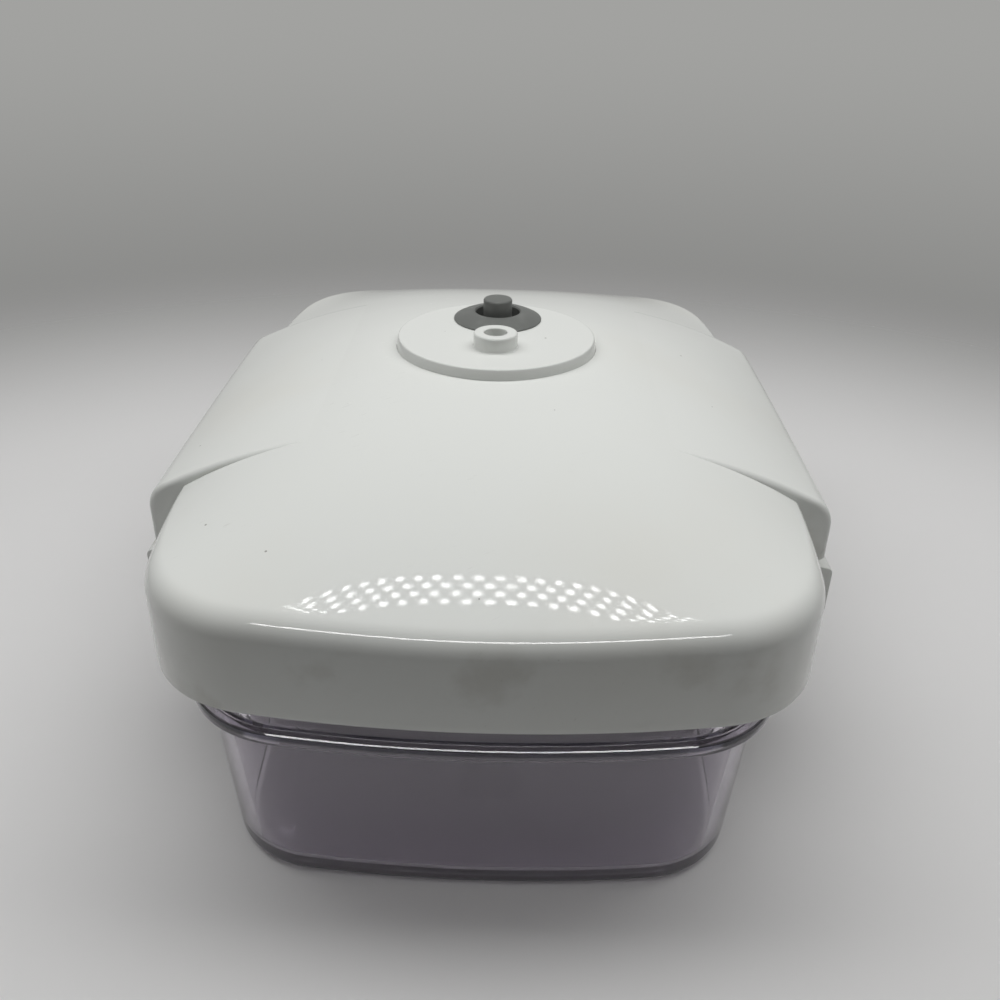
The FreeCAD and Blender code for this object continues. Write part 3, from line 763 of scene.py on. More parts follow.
@dataclass(frozen=True)
class ClearBox:
    """The clear box: drafted walls, a lip all round, a rim above it and a ring to stand on."""

    lip: float = 0.0018
    lip_bottom: float = 0.0422
    lip_top: float = 0.0452
    lip_flat: float = 0.0004
    lip_end: float = 0.0007
    wall: float = 0.0025
    wall_bend: float = 0.010
    floor: float = 0.0030
    draft: float = 0.0030
    foot: float = 0.0080
    foot_depth: float = 0.0008
    foot_lead: float = 0.001
    foot_run: float = 0.006
    foot_round: float = 0.003
    under_reach: float = 1.4
    cavity_round: float = 0.0030
    base_round: float = 0.0028
    ease: float = 0.0003
    steps: int = 8

    def rows(self) -> Array:
        """The box as rings, from the floor's top, over the rim, to its underside.

        The walls run round one outline, and the rim and the lip round another that steps out over it at the sides.
        Both have their points at the same shares of their arcs. A narrow flat runs along the lip's upper edge.

        Returns:
            The rings, of shape (rings, points of the outline, 3).
        """
        edge = self.draft + self.foot
        inner = rounded_path([
            (edge + self.foot, self.floor, 0.0), (self.draft + self.wall, self.floor, self.cavity_round),
            (self.wall, self.lip_bottom, self.wall_bend), (self.wall, self.lip_top - self.ease, 0.0)], self.steps)
        rim = rounded_path([
            (self.wall, self.lip_top + self.ease, 0.0), (self.wall, RIM_TOP, BROAD),
            (0.0, RIM_TOP, BROAD), (0.0, self.lip_top, FINE),
            (self.lip_flat - self.lip, self.lip_top, HAIR),
            (-self.lip, self.lip_top - self.lip_flat, HAIR),
            (-self.lip, self.lip_bottom, ROUND), (-self.lip_end, self.lip_bottom, 0.0)], self.steps)
        outer = rounded_path([
            (0.0, self.lip_bottom, 0.0), (self.draft, 0.0, self.base_round),
            (edge - self.foot_lead, 0.0, self.foot_round), (edge + self.foot_run, self.foot_depth, self.foot_round),
            (edge + self.under_reach * self.foot, self.foot_depth, 0.0)], self.steps)
        return np.concatenate([swept(WALL_OUTLINE, inner), swept(RIM_OUTLINE, rim), swept(WALL_OUTLINE, outer)])

    def build(self, look: Look) -> None:
        """Makes the box: its rings, closed by a point in the middle of each face of the floor.

        Args:
            look: the clear plastic.
        """
        rows = self.rows()
        top = rows[:1] * (0.0, 0.0, 1.0)
        under = rows[-1:] * (0.0, 0.0, 1.0)
        box = Form().grid(np.concatenate([top, rows, under]), ring=True).piece("clear_box")
        dress(box, look, Body.BOX, "container")


@dataclass(frozen=True)
class LidShell:
    """The white outer lid: a dome with a rounded shoulder, a skirt and two hollow wings."""

    rise: float = 0.0209
    power_x: float = 2.8
    power_y: float = 2.2
    wall: float = 0.0022
    dome_wall: float = 0.0025
    skirt_bottom: float = 0.0515
    skirt_lip: float = 0.0006
    shoulder_end: float = 0.0065
    shoulder_side: float = 0.0024
    shoulder_from: float = 0.058
    shoulder_to: float = 0.092
    opening: float = TOWER_RADIUS + 0.00008
    dome_steps: int = 64
    shoulder_steps: int = 15
    skirt_steps: int = 4
    roof_steps: int = 20
    wing_half_width: float = 0.0835
    wing_half_length: float = 0.0528
    wing_bottom: float = 0.0582
    wing_edge: float = 0.07225
    wing_sink: float = 0.00015
    wing_power: float = 2.5
    wing_round: float = 0.0080
    wing_end_round: float = 0.0016
    wing_lip: float = 0.0005
    wing_wall: float = 0.0020
    wing_root: float = 0.036
    wing_seat: float = 0.0743
    wing_steps: int = 49
    wing_end_steps: int = 9
    wing_top_steps: int = 56
    wing_edge_steps: int = 13
    wing_lip_steps: int = 5
    back_depth: float = 0.0042
    back_drop: float = 0.0015
    back_steps: int = 24
    pocket_height: float = 0.0095
    pocket_ease: float = 0.00005
    pocket_steps: tuple[int, int] = (21, 6)

    def dome(self, x: Array, y: Array) -> Array:
        """Height of the dome: crown - rise * (1 - (1 - |x/a|^p) * (1 - |y/b|^q)), level along its edge.

        Args:
            x: places across the lid.
            y: places along it.

        Returns:
            The heights there.
        """
        across = np.abs(x / LID_OUTLINE.half_width) ** self.power_x
        along = np.abs(y / LID_OUTLINE.half_length) ** self.power_y
        return CROWN - self.rise * (1.0 - (1.0 - across) * (1.0 - along))

    def on_dome(self, plan: Array, drop: float = 0.0) -> Array:
        """Plan points, lifted to the dome or to a surface that lies so far under it."""
        x, y = plan[..., 0], plan[..., 1]
        return points_of(x, y, self.dome(x, y) - drop)

    def wing(self, x: Array, y: Array) -> Array:
        """Height of a wing: it falls with |x/w|^p from just under the dome's middle line to its outer edge.

        Args:
            x: places across the lid.
            y: places along it.

        Returns:
            The heights there.
        """
        along = np.abs(y / LID_OUTLINE.half_length) ** self.power_y
        middle = CROWN - self.wing_sink - self.rise * along
        across = np.abs(x / self.wing_half_width) ** self.wing_power
        return middle + (self.wing_edge - middle) * across

    def dome_lean(self, points: Array, ways: Array) -> Array:
        """The dome's slope angle against the outward direction, from a small step each way.

        Args:
            points: plan points on the dome, of shape (n, 2).
            ways: the outward direction at each.

        Returns:
            An angle to each point, positive where the dome falls outwards.
        """
        inner, outer = points - ways * SLOPE_STEP, points + ways * SLOPE_STEP
        fall = self.dome(inner[:, 0], inner[:, 1]) - self.dome(outer[:, 0], outer[:, 1])
        return np.arctan(fall / (2.0 * SLOPE_STEP))

    def dome_rows(self) -> Array:
        """The dome's shell as one closed loop of rings.

        From the round opening the rings spread to the shoulder at the dome's height. There a round of radius r
        meets a top that leans by a: it starts r * (1 - sin a) inside the outline, and each of its points is
        r - r sin b inside and r cos b above its centre, with b from a to a right angle. The wall goes down from
        there, turns in at the skirt's lip and comes back under the dome at the wall's thickness.

        Returns:
            The rings, of shape (rings, points of the outline, 3).
        """
        points, ways = LID_OUTLINE.trace()
        blend = smooth_step(np.abs(points[:, 1]), self.shoulder_from, self.shoulder_to)
        radius = self.shoulder_side + (self.shoulder_end - self.shoulder_side) * blend
        lean = np.zeros(len(points))
        for _ in range(SETTLING):
            touch = points - ways * (radius * (1.0 - np.sin(lean)))[:, None]
            lean = self.dome_lean(touch, ways)
        start = self.opening * directions(np.arctan2(points[:, 1], points[:, 0]))
        top = self.on_dome(start + (touch - start) * np.linspace(0.0, 1.0, self.dome_steps)[:, None, None])
        centre = top[-1, :, 2] - radius * np.cos(lean)
        turn = lean + (np.pi / 2.0 - lean) * np.linspace(0.0, 1.0, self.shoulder_steps)[1:, None]
        inside = points - ways * (radius - radius * np.sin(turn))[..., None]
        shoulder = points_of(inside[..., 0], inside[..., 1], centre + radius * np.cos(turn))
        lip = self.skirt_lip
        low = rounded_path([(0.0, self.skirt_bottom + 3.0 * lip, 0.0), (0.0, self.skirt_bottom, lip),
                            (self.wall, self.skirt_bottom, lip), (self.wall, PLATE_TOP, 0.0)], self.skirt_steps)
        inner_edge = points - ways * self.wall
        back = start + (inner_edge - start) * np.linspace(1.0, 0.0, self.roof_steps)[:, None, None]
        return np.concatenate([top, shoulder, swept(LID_OUTLINE, low), self.on_dome(back, self.dome_wall)])

    def wing_stations(self) -> tuple[Array, Array]:
        """Places along a wing and how far its end rounds draw it in there: r (1 - sin t) and r (1 - cos t).

        Returns:
            The places along Y, and how far the wing is drawn in at each.
        """
        turn = np.linspace(0.0, np.pi / 2.0, self.wing_end_steps)
        end = self.wing_half_length - self.wing_end_round * (1.0 - np.sin(turn))
        drawn = self.wing_end_round * (1.0 - np.cos(turn))
        middle = np.linspace(-end[0], end[0], self.wing_steps)[1:-1]
        places = np.concatenate([-end[::-1], middle, end])
        return places, np.concatenate([drawn[::-1], np.zeros(len(middle)), drawn])

    def wing_skin(self, places: Array, drawn: Array) -> Array:
        """A wing's outside, one row to a place: top, round outer edge, wall and lip, in the same way as the dome.

        Args:
            places: places along Y.
            drawn: how far the wing is drawn in at each.

        Returns:
            Rows of points, of shape (places, points to a row, 3).
        """
        y = places[:, None]
        width = (self.wing_half_width - drawn)[:, None]
        lean = np.zeros_like(width)
        for _ in range(SETTLING):
            touch = width - self.wing_round * (1.0 - np.sin(lean))
            fall = self.wing(touch - SLOPE_STEP, y) - self.wing(touch + SLOPE_STEP, y)
            lean = np.arctan(fall / (2.0 * SLOPE_STEP))
        top_x = self.wing_root + (touch - self.wing_root) * np.linspace(0.0, 1.0, self.wing_top_steps)
        top_z = self.wing(top_x, y) - drawn[:, None]
        centre = top_z[:, -1:] - self.wing_round * np.cos(lean)
        turn = lean + (np.pi / 2.0 - lean) * np.linspace(0.0, 1.0, self.wing_edge_steps)[1:]
        edge_x = width - self.wing_round + self.wing_round * np.sin(turn)
        edge_z = centre + self.wing_round * np.cos(turn)
        curl = np.linspace(0.0, np.pi / 2.0, self.wing_lip_steps)
        lip_x = width - self.wing_lip + self.wing_lip * np.cos(curl)
        lip_z = self.wing_bottom + self.wing_lip * (1.0 - np.sin(curl)) + 0.0 * width
        x = np.concatenate([top_x, edge_x, lip_x], axis=1)
        z = np.concatenate([top_z, edge_z, lip_z], axis=1)
        return points_of(x, y, z)

    def wing_back(self, places: Array, skin: Array) -> Array:
        """The side of a wing that lies in the dome's wall: up from the bottom, then back to the root.

        Args:
            places: places along Y.
            skin: the wing's outside, whose first column is its root.

        Returns:
            Rows of points, of shape (places, points to a row, 3).
        """
        x = np.concatenate([[self.wing_seat], np.linspace(self.wing_seat, self.wing_root, self.back_steps)])
        y = places[:, None]
        z = np.minimum(self.wing(x, y) - self.back_depth, self.dome(x, y) - self.back_drop)
        z[:, 0] = self.wing_bottom
        return np.concatenate([points_of(x, y, z), skin[:, :1]], axis=1)

    def wing_pocket(self) -> Array:
        """The hollow for the latch: one row to a place, up the outer wall, along the roof and down.

        Returns:
            Rows of points, of shape (places, points to a row, 3).
        """
        reach = self.wing_half_length - self.wing_wall
        along, across = self.pocket_steps
        y = np.linspace(-reach, reach, along)[:, None]
        outer = self.wing_half_width - self.wing_wall
        inner = LID_OUTLINE.half_width - self.pocket_ease
        x = np.concatenate([[outer], np.linspace(outer, inner, across), [inner]])
        z = np.minimum(self.wing(x, y) - self.wing_wall, self.wing_bottom + self.pocket_height)
        z[:, [0, -1]] = self.wing_bottom
        return points_of(x, y, z)

    def add_wing(self, form: Form, side: Side) -> None:
        """Adds one wing: outside, ends, the side in the dome's wall, the hollow and the rim around its mouth.

        Args:
            form: the shell's form.
            side: the side that the wing is on.
        """
        places, drawn = self.wing_stations()
        sign = (side.value, 1.0, 1.0)
        skin = self.wing_skin(places, drawn)
        back = self.wing_back(places, skin)
        pocket = self.wing_pocket()
        form.grid(skin * sign).grid(back * sign).grid(pocket * sign)
        for end in (0, -1):
            form.face(np.concatenate([skin[end], back[end, :-1]]) * sign)
            form.face(pocket[end] * sign)
            rim = [skin[end, -1], back[end, 0], pocket[end, -1], pocket[end, 0]]
            form.face(np.array(rim) * sign)
        form.face(np.concatenate([skin[:, -1], pocket[::-1, 0]]) * sign)
        form.face(np.concatenate([back[:, 0], pocket[::-1, -1]]) * sign)

    def build(self, look: Look) -> None:
        """Makes the lid's outer shell with both wings.

        Args:
            look: the white plastic.
        """
        form = Form().grid(self.dome_rows(), ring=True, loop=True)
        for side in Side:
            self.add_wing(form, side)
        dress(form.piece("lid_dome"), look, Body.LID, "lid_shell")


@dataclass(frozen=True)
class InnerLid:
    """The plate that closes the box, its plug, and the valve tower whose disc and hose port show on the dome."""

    plate: Outline = LID_OUTLINE.inset(0.0025)
    plug: Outline = RIM_OUTLINE.inset(0.0040)
    plug_wall: float = 0.0020
    plug_bottom: float = 0.0530
    disc_radius: float = 0.0270
    well_radius: float = 0.0253
    well_lead: float = 0.0012
    port_radius: float = 0.0059
    port_bore: float = 0.00305
    port_top: float = 0.1001
    port_lead: float = 0.0008
    bezel_hole: float = 0.0081
    chamber_radius: float = 0.0086
    chamber_bore: float = 0.0066
    chamber_bottom: float = 0.0845
    rib_width: float = 0.0020
    rib_height: float = 0.0080
    rib_margin: float = 0.0090
    overlap: float = 0.0005
    lead: float = 0.001
    long_lead: float = 0.002

    def add_port(self, form: Form, angles: Array) -> tuple[Array, Array]:
        """Adds the port, from the foot of its bore to its root on the disc, and returns both of those rings.

        Args:
            form: the inner lid's form.
            angles: the angles of a ring's points.

        Returns:
            The foot of the bore and the root of the port, as rings of points.
        """
        path = rounded_path([(self.port_bore, DISC_BOTTOM, 0.0), (self.port_bore, self.port_top, ROUND),
                             (self.port_radius, self.port_top, BOLD), (self.port_radius, DISC_TOP, EDGE),
                             (self.port_radius + self.port_lead, DISC_TOP, 0.0)])
        rings = turned(path, PORT_Y, angles)
        form.grid(rings, ring=True)
        return rings[0], rings[-1]

    def add_body(self, form: Form, angles: Array) -> tuple[Array, Array]:
        """Adds the lid from the disc's edge to the roof of the well, and returns both of those rings.

        The rings go down the tower, out over the plate, round its edge, round the plug and up the well. Those about
        the tower's axis and those of the outlines share their angles, so that each joins the next point by point.

        Args:
            form: the inner lid's form.
            angles: the angles of a ring's points.

        Returns:
            The edge of the well's roof and the edge of the disc, as rings of points.
        """
        lead, long_lead = self.lead, self.long_lead
        wall, well, bottom = self.plug_wall, self.well_radius, self.plug_bottom
        tower = rounded_path([(self.disc_radius - lead, DISC_TOP, 0.0), (self.disc_radius, DISC_TOP, EDGE),
                              (TOWER_RADIUS, CROWN, 0.0), (TOWER_RADIUS, PLATE_TOP, WIDE),
                              (TOWER_RADIUS + long_lead, PLATE_TOP, 0.0)])
        edge = rounded_path([(long_lead, PLATE_TOP, 0.0), (0.0, PLATE_TOP, ROUND), (0.0, PLATE_BOTTOM, ROUND),
                             (long_lead, PLATE_BOTTOM, 0.0)])
        plug = rounded_path([(-lead, PLATE_BOTTOM, 0.0), (0.0, PLATE_BOTTOM, ROUND), (0.0, bottom, BOLD),
                             (wall, bottom, BOLD), (wall, PLATE_BOTTOM, ROUND), (wall + lead, PLATE_BOTTOM, 0.0)])
        hollow = rounded_path([(well + long_lead, PLATE_BOTTOM, 0.0), (well, PLATE_BOTTOM, EDGE),
                               (well, DISC_BOTTOM, WIDE), (well - self.well_lead, DISC_BOTTOM, 0.0)])
        rings = np.concatenate([turned(tower, 0.0, angles), swept(self.plate, edge), swept(self.plug, plug),
                                turned(hollow, 0.0, angles)])
        form.grid(rings, ring=True)
        return rings[-1], rings[0]

    def add_skin(self, form: Form, angles: Array) -> None:
        """Adds the port, the body, the wall of the bezel's hole, and the disc's two faces around the holes.

        Each face is two flat halves that meet along the Y axis: out round the disc's edge on one side, and back
        round the same side of both holes.

        Args:
            form: the inner lid's form.
            angles: the angles of a ring's points.
        """
        ports = self.add_port(form, angles)
        edges = self.add_body(form, angles)
        bore = np.array([(self.bezel_hole, DISC_BOTTOM), (self.bezel_hole, DISC_TOP)])
        holes = turned(bore, VALVE_Y, angles)
        form.grid(holes, ring=True)
        quarter = len(angles) // 4
        right = np.arange(-quarter, quarter + 1)
        left = np.arange(quarter, 3 * quarter + 1)
        for port, edge, hole in zip(ports, edges, holes):
            form.face(np.concatenate([edge[right], hole[right[::-1]], port[right[::-1]]]))
            form.face(np.concatenate([edge[left], port[left[::-1]], hole[left[::-1]]]))

    def add_ribs(self, form: Form) -> None:
        """Adds the four stiffening ribs on the plate, from the tower towards each side.

        Args:
            form: the inner lid's form.
        """
        half = self.rib_width / 2.0
        near = TOWER_RADIUS - self.lead
        for axis, reach in ((0, self.plug.half_width), (1, self.plug.half_length)):
            far = reach - self.rib_margin
            low = np.array([[near, -half], [far, -half], [far, half], [near, half]])
            for sign in (1.0, -1.0):
                plan = np.roll(low * sign, axis, axis=1)
                foot, head = level(plan, PLATE_TOP - self.overlap), level(plan, PLATE_TOP + self.rib_height)
                form.grid(np.stack([foot, head]), ring=True).face(foot).face(head)

    def build(self, look: Look) -> None:
        """Makes the inner lid with its ribs and the check valve's chamber.

        Args:
            look: the white plastic.
        """
        points, _ = self.plate.trace()
        form = Form()
        self.add_skin(form, np.arctan2(points[:, 1], points[:, 0]))
        self.add_ribs(form)
        top = DISC_BOTTOM + self.overlap
        wall = rounded_path([(self.chamber_bore, top, 0.0), (self.chamber_bore, self.chamber_bottom, EASED),
                             (self.chamber_radius, self.chamber_bottom, EASED),
                             (self.chamber_radius, top, 0.0)])
        form.grid(turned(wall, PORT_Y), ring=True, loop=True)
        dress(form.piece("inner_lid_and_port"), look, Body.LID, "inner_lid")


def ring_path(bore: float, radius: float, low: float, high: float, edge: float) -> Array:
    """The closed section of a flat ring with rounded edges, as (radius, height) points.

    Args:
        bore: the ring's inner radius.
        radius: its outer radius.
        low: the height of its underside.
        high: the height of its top.
        edge: the round of its edges.

    Returns:
        The points (radius, height), of shape (n, 2).
    """
    start = ((bore + radius) / 2.0, low, 0.0)
    corners = [start, (radius, low, edge), (radius, high, edge), (bore, high, edge), (bore, low, edge), start]
    return rounded_path(corners)[:-1]


def add_turned(name: str, node: str, path: Array, look: Look, body: Body, y: float = VALVE_Y,
               angles: Optional[Array] = None, closed: bool = False) -> None:
    """Makes a piece that stands for a node by turning a path. A closed path is the section of a ring."""
    piece = Form().grid(turned(path, y, angles), ring=True, loop=closed).piece(name)
    dress(piece, look, body, node)


@dataclass(frozen=True)
class Seals:
    """The soft pieces: the main gasket, the bezel's washer, the umbrella valve and the poppet."""

    gasket_out: float = -0.0006
    gasket_in: float = 0.00385
    washer_bore: float = 0.00805
    washer_radius: float = 0.0105
    washer_bottom: float = 0.0923
    crown: float = 0.0879
    flap_radius: float = 0.0050
    flap_top: float = 0.0870
    flap_bottom: float = 0.0865
    flap_steps: int = 72
    barb_core: float = 0.0010
    barb_radius: float = 0.0016
    barb_top: float = 0.0829
    barb_bottom: float = 0.0816
    poppet_radius: float = 0.0050
    poppet_top: float = 0.0800

    def umbrella_path(self) -> Array:
        """The check valve's section, from its crown over the thin flap to the barb that holds it.

        Returns:
            The points (radius, height), of shape (n, 2).
        """
        return rounded_path([
            (0.0, self.crown, 0.0), (self.barb_core, self.crown, ROUND),
            (self.flap_radius, self.flap_top, FINE), (self.flap_radius, self.flap_bottom, FINE),
            (self.barb_core, self.flap_bottom, FINE), (self.barb_core, self.barb_top, HAIR),
            (self.barb_radius, self.barb_top, FINE), (self.barb_core, self.barb_bottom, EASED),
            (0.0, self.barb_bottom, 0.0)])

    def build(self, look: Look) -> None:
        """Makes the four soft pieces.

        Args:
            look: the silicone.
        """
        section = ring_path(self.gasket_out, self.gasket_in, RIM_TOP, PLATE_BOTTOM, BROAD)
        gasket = Form().grid(swept(RIM_OUTLINE, section), ring=True, loop=True).piece("rim_gasket")
        dress(gasket, look, Body.LID, "main_gasket")
        washer = ring_path(self.washer_bore, self.washer_radius, self.washer_bottom, DISC_BOTTOM, EASED)
        add_turned("valve_washer", "bezel_washer", washer, look, Body.LID, closed=True)
        flap = all_round(self.flap_steps)
        add_turned("umbrella_flap", "check_valve", self.umbrella_path(), look, Body.LID, PORT_Y, flap)
        poppet = ring_path(POPPET_BORE, self.poppet_radius, POPPET_BOTTOM, self.poppet_top, BOLD)
        add_turned("vent_poppet", "stem_seal", poppet, look, Body.BUTTON, closed=True)


@dataclass(frozen=True)
class ReleaseValve:
    """The grey button in its bezel, and the stem, backing washer and spring under it."""

    bezel_radius: float = 0.0125
    bezel_bore: float = 0.0063
    bezel_rim: float = 0.00045
    bezel_rise: float = 0.0024
    bezel_power: float = 1.6
    bezel_steps: int = 25
    tube_radius: float = 0.0080
    tube_bottom: float = 0.0800
    vent_floor: float = 0.0820
    vent_radius: float = 0.0026
    button_radius: float = 0.0041
    button_top: float = 0.1020
    collar_radius: float = 0.0060
    collar_bottom: float = 0.0895
    collar_top: float = 0.0915
    stem_radius: float = 0.00145
    stem_bottom: float = 0.0749
    stem_top: float = 0.0955
    stem_steps: int = 48
    clip_bottom: float = 0.0761
    clip_top: float = 0.0769
    clip_core: float = 0.0010
    washer_radius: float = 0.0040
    washer_steps: int = 72
    spring_radius: float = 0.0036
    spring_wire: float = 0.0007
    spring_turns: float = 4.5
    spring_gap: float = 0.00005
    spring_steps: int = 260
    wire_steps: int = 18
    travel: float = 0.0030

    def bezel_path(self) -> Array:
        """The bezel's closed section. Its cover rises as rim + (rise - rim) * (1 - s^p), s from bore to rim.

        Returns:
            The points (radius, height), of shape (n, 2).
        """
        s = np.linspace(1.0, 0.0, self.bezel_steps)
        mouth = self.bezel_bore + EASED
        radius = mouth + (self.bezel_radius - HAIR - self.bezel_bore - EASED) * s
        height = DISC_TOP + self.bezel_rim + (self.bezel_rise - self.bezel_rim) * (1.0 - s ** self.bezel_power)
        cover = np.column_stack([radius, height])
        under = rounded_path([
            (self.bezel_bore, DISC_TOP + self.bezel_rise - ROUND, 0.0),
            (self.bezel_bore, self.vent_floor, ROUND), (self.vent_radius, self.vent_floor, FINE),
            (self.vent_radius, self.tube_bottom, FINE), (self.tube_radius, self.tube_bottom, ROUND),
            (self.tube_radius, DISC_TOP, 0.0), (self.bezel_radius, DISC_TOP, 0.0),
            (self.bezel_radius, DISC_TOP + self.bezel_rim - HAIR, 0.0)])
        return np.concatenate([cover, under])

    def button_path(self) -> Array:
        """The button's section: a plain head on a wider collar.

        Returns:
            The points (radius, height), of shape (n, 2).
        """
        return rounded_path([
            (0.0, self.button_top, 0.0), (self.button_radius, self.button_top, BOLD),
            (self.button_radius, self.collar_top, ROUND), (self.collar_radius, self.collar_top, EASED),
            (self.collar_radius, self.collar_bottom, EASED), (0.0, self.collar_bottom, 0.0)])

    def stem_path(self) -> Array:
        """The stem's section, with the groove for its clip.

        Returns:
            The points (radius, height), of shape (n, 2).
        """
        return rounded_path([
            (0.0, self.stem_top, 0.0), (self.stem_radius, self.stem_top, FINE),
            (self.stem_radius, self.clip_top, 0.0), (self.clip_core, self.clip_top, 0.0),
            (self.clip_core, self.clip_bottom, 0.0), (self.stem_radius, self.clip_bottom, 0.0),
            (self.stem_radius, self.stem_bottom, EASED), (0.0, self.stem_bottom, 0.0)])

    def spring_rows(self) -> Array:
        """The spring's wire as rings along a helix.

        The wire's middle is (R cos a, R sin a, low + pitch a / 2 pi). A ring's points lie r from it, in the plane of
        the outward direction and of the direction that is square to it and to the wire.

        Returns:
            The rings, of shape (rings, points to a ring, 3).
        """
        low = self.vent_floor + self.spring_wire / 2.0 + self.spring_gap
        high = self.collar_bottom - self.spring_wire / 2.0 - self.spring_gap
        angle = np.linspace(0.0, 2.0 * np.pi * self.spring_turns, self.spring_steps)
        climb = (high - low) / (2.0 * np.pi * self.spring_turns)
        out = points_of(np.cos(angle), np.sin(angle), 0.0)
        way = points_of(-np.sin(angle), np.cos(angle), climb / self.spring_radius)
        up = np.cross(out, way / np.linalg.norm(way, axis=1, keepdims=True))
        middle = out * self.spring_radius + points_of(0.0, VALVE_Y, low + climb * angle)
        turn = all_round(self.wire_steps)[None, :, None]
        rings = middle[:, None] + self.spring_wire / 2.0 * (np.cos(turn) * out[:, None] + np.sin(turn) * up[:, None])
        ends = np.repeat(middle[[0, -1], None], self.wire_steps, axis=1)
        return np.concatenate([ends[:1], rings, ends[1:]])

    def build(self, grey: Look, steel: Look) -> None:
        """Makes the bezel, the button, the stem, its backing washer and the spring.

        Args:
            grey: the grey plastic.
            steel: the steel.
        """
        add_turned("valve_bezel", "button_bezel", self.bezel_path(), grey, Body.LID, closed=True)
        add_turned("push_button", "release_button", self.button_path(), grey, Body.BUTTON)
        add_turned("button_stem", "valve_stem", self.stem_path(), steel, Body.BUTTON,
                   angles=all_round(self.stem_steps))
        washer = ring_path(POPPET_BORE, self.washer_radius, self.clip_top, POPPET_BOTTOM, HAIR)
        add_turned("poppet_washer", "stem_washer", washer, steel, Body.BUTTON,
                   angles=all_round(self.washer_steps), closed=True)
        spring = Form().grid(self.spring_rows(), ring=True).piece("button_spring")
        dress(spring, steel, Body.LID, "release_spring")
        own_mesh(spring)


@dataclass(frozen=True)
class Latch:
    """A side latch: a knuckle on a steel pin, an arm, a finger tab and the hook that goes under the lip."""

    side: Side
    knuckle: float = 0.0026
    knuckle_steps: int = 48
    half_length: float = 0.0500
    tab_half_length: float = 0.0524
    hook_half_length: float = 0.0300
    arm: Pair = (0.0770, 0.0800)
    tab: Pair = (0.0839, 0.0861)
    hook: Pair = (0.0691, 0.0713)
    tab_root: float = 0.0565
    tab_top: float = 0.0552
    tab_web: float = 0.0516
    tab_low: float = 0.0422
    brow_round: float = 0.0016
    hook_slope: float = 0.0451
    hook_top: float = 0.0411
    hook_tip: float = 0.0400
    hook_low: float = 0.0379
    ease: float = 0.0004
    pin_radius: float = 0.00125
    pin_start: float = -0.0518
    pin_end: float = 0.05295
    pin_steps: int = 40

    def build(self, white: Look, steel: Look) -> None:
        """Makes the latch from prisms that run into each other, with no two faces in one plane, and its pin.

        Args:
            white: the white plastic.
            steel: the steel.
        """
        arm_in, arm_out = self.arm
        tab_in, tab_out = self.tab
        tip, nose = self.hook
        core = (arm_in + arm_out) / 2.0
        low, raised = self.hook_low, self.hook_low + self.ease
        barrel = directions(all_round(self.knuckle_steps)) * self.knuckle + PIVOT
        arm = np.array([(arm_in, PIVOT[1]), (arm_in, low), (arm_out, low), (arm_out, PIVOT[1])])
        tab = rounded_path([
            (core, self.tab_web, 0.0), (tab_in, self.tab_web, WIDE), (tab_in, self.tab_low, BOLD),
            (tab_out, self.tab_low, WIDE), (tab_out, self.tab_top, self.brow_round),
            (arm_out, self.tab_root, BOLD), (core, self.tab_root, 0.0)])
        hook = np.array([(tip, self.hook_top), (nose, self.hook_top), (arm_in, self.hook_slope),
                         (core, self.hook_slope), (core, raised), (arm_in + self.ease, raised), (arm_in, low),
                         (nose, low), (tip, self.hook_tip)])
        form = Form().prism(barrel, self.half_length).prism(arm, self.half_length - self.ease)
        form.prism(tab, self.tab_half_length).prism(hook, self.hook_half_length)
        word = self.side.word
        latch = form.piece("side_latch_" + word, self.side.value, BOLD)
        dress(latch, white, Body["LATCH_" + self.side.name], "latch_" + word)
        rod = rounded_path([(0.0, self.pin_start, 0.0), (self.pin_radius, self.pin_start, FINE),
                            (self.pin_radius, self.pin_end, EASED), (0.0, self.pin_end, 0.0)])
        rows = turned(rod, 0.0, all_round(self.pin_steps))[..., [0, 2, 1]] + (PIVOT[0], 0.0, PIVOT[1])
        pin = Form().grid(rows, ring=True).piece("hinge_pin_" + word, self.side.value)
        dress(pin, steel, Body.LID, "latch_pin_" + word)


def finish_plain_nodes(looks: dict[str, Look]) -> None:
    """Gives the nodes that show as they are their own finish.

    Args:
        looks: each node's name, with its finish.
    """
    for name, look in looks.items():
        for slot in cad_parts[name].material_slots:
            slot.material = look.material
        log.info("%s keeps its shape", name)


# The studio


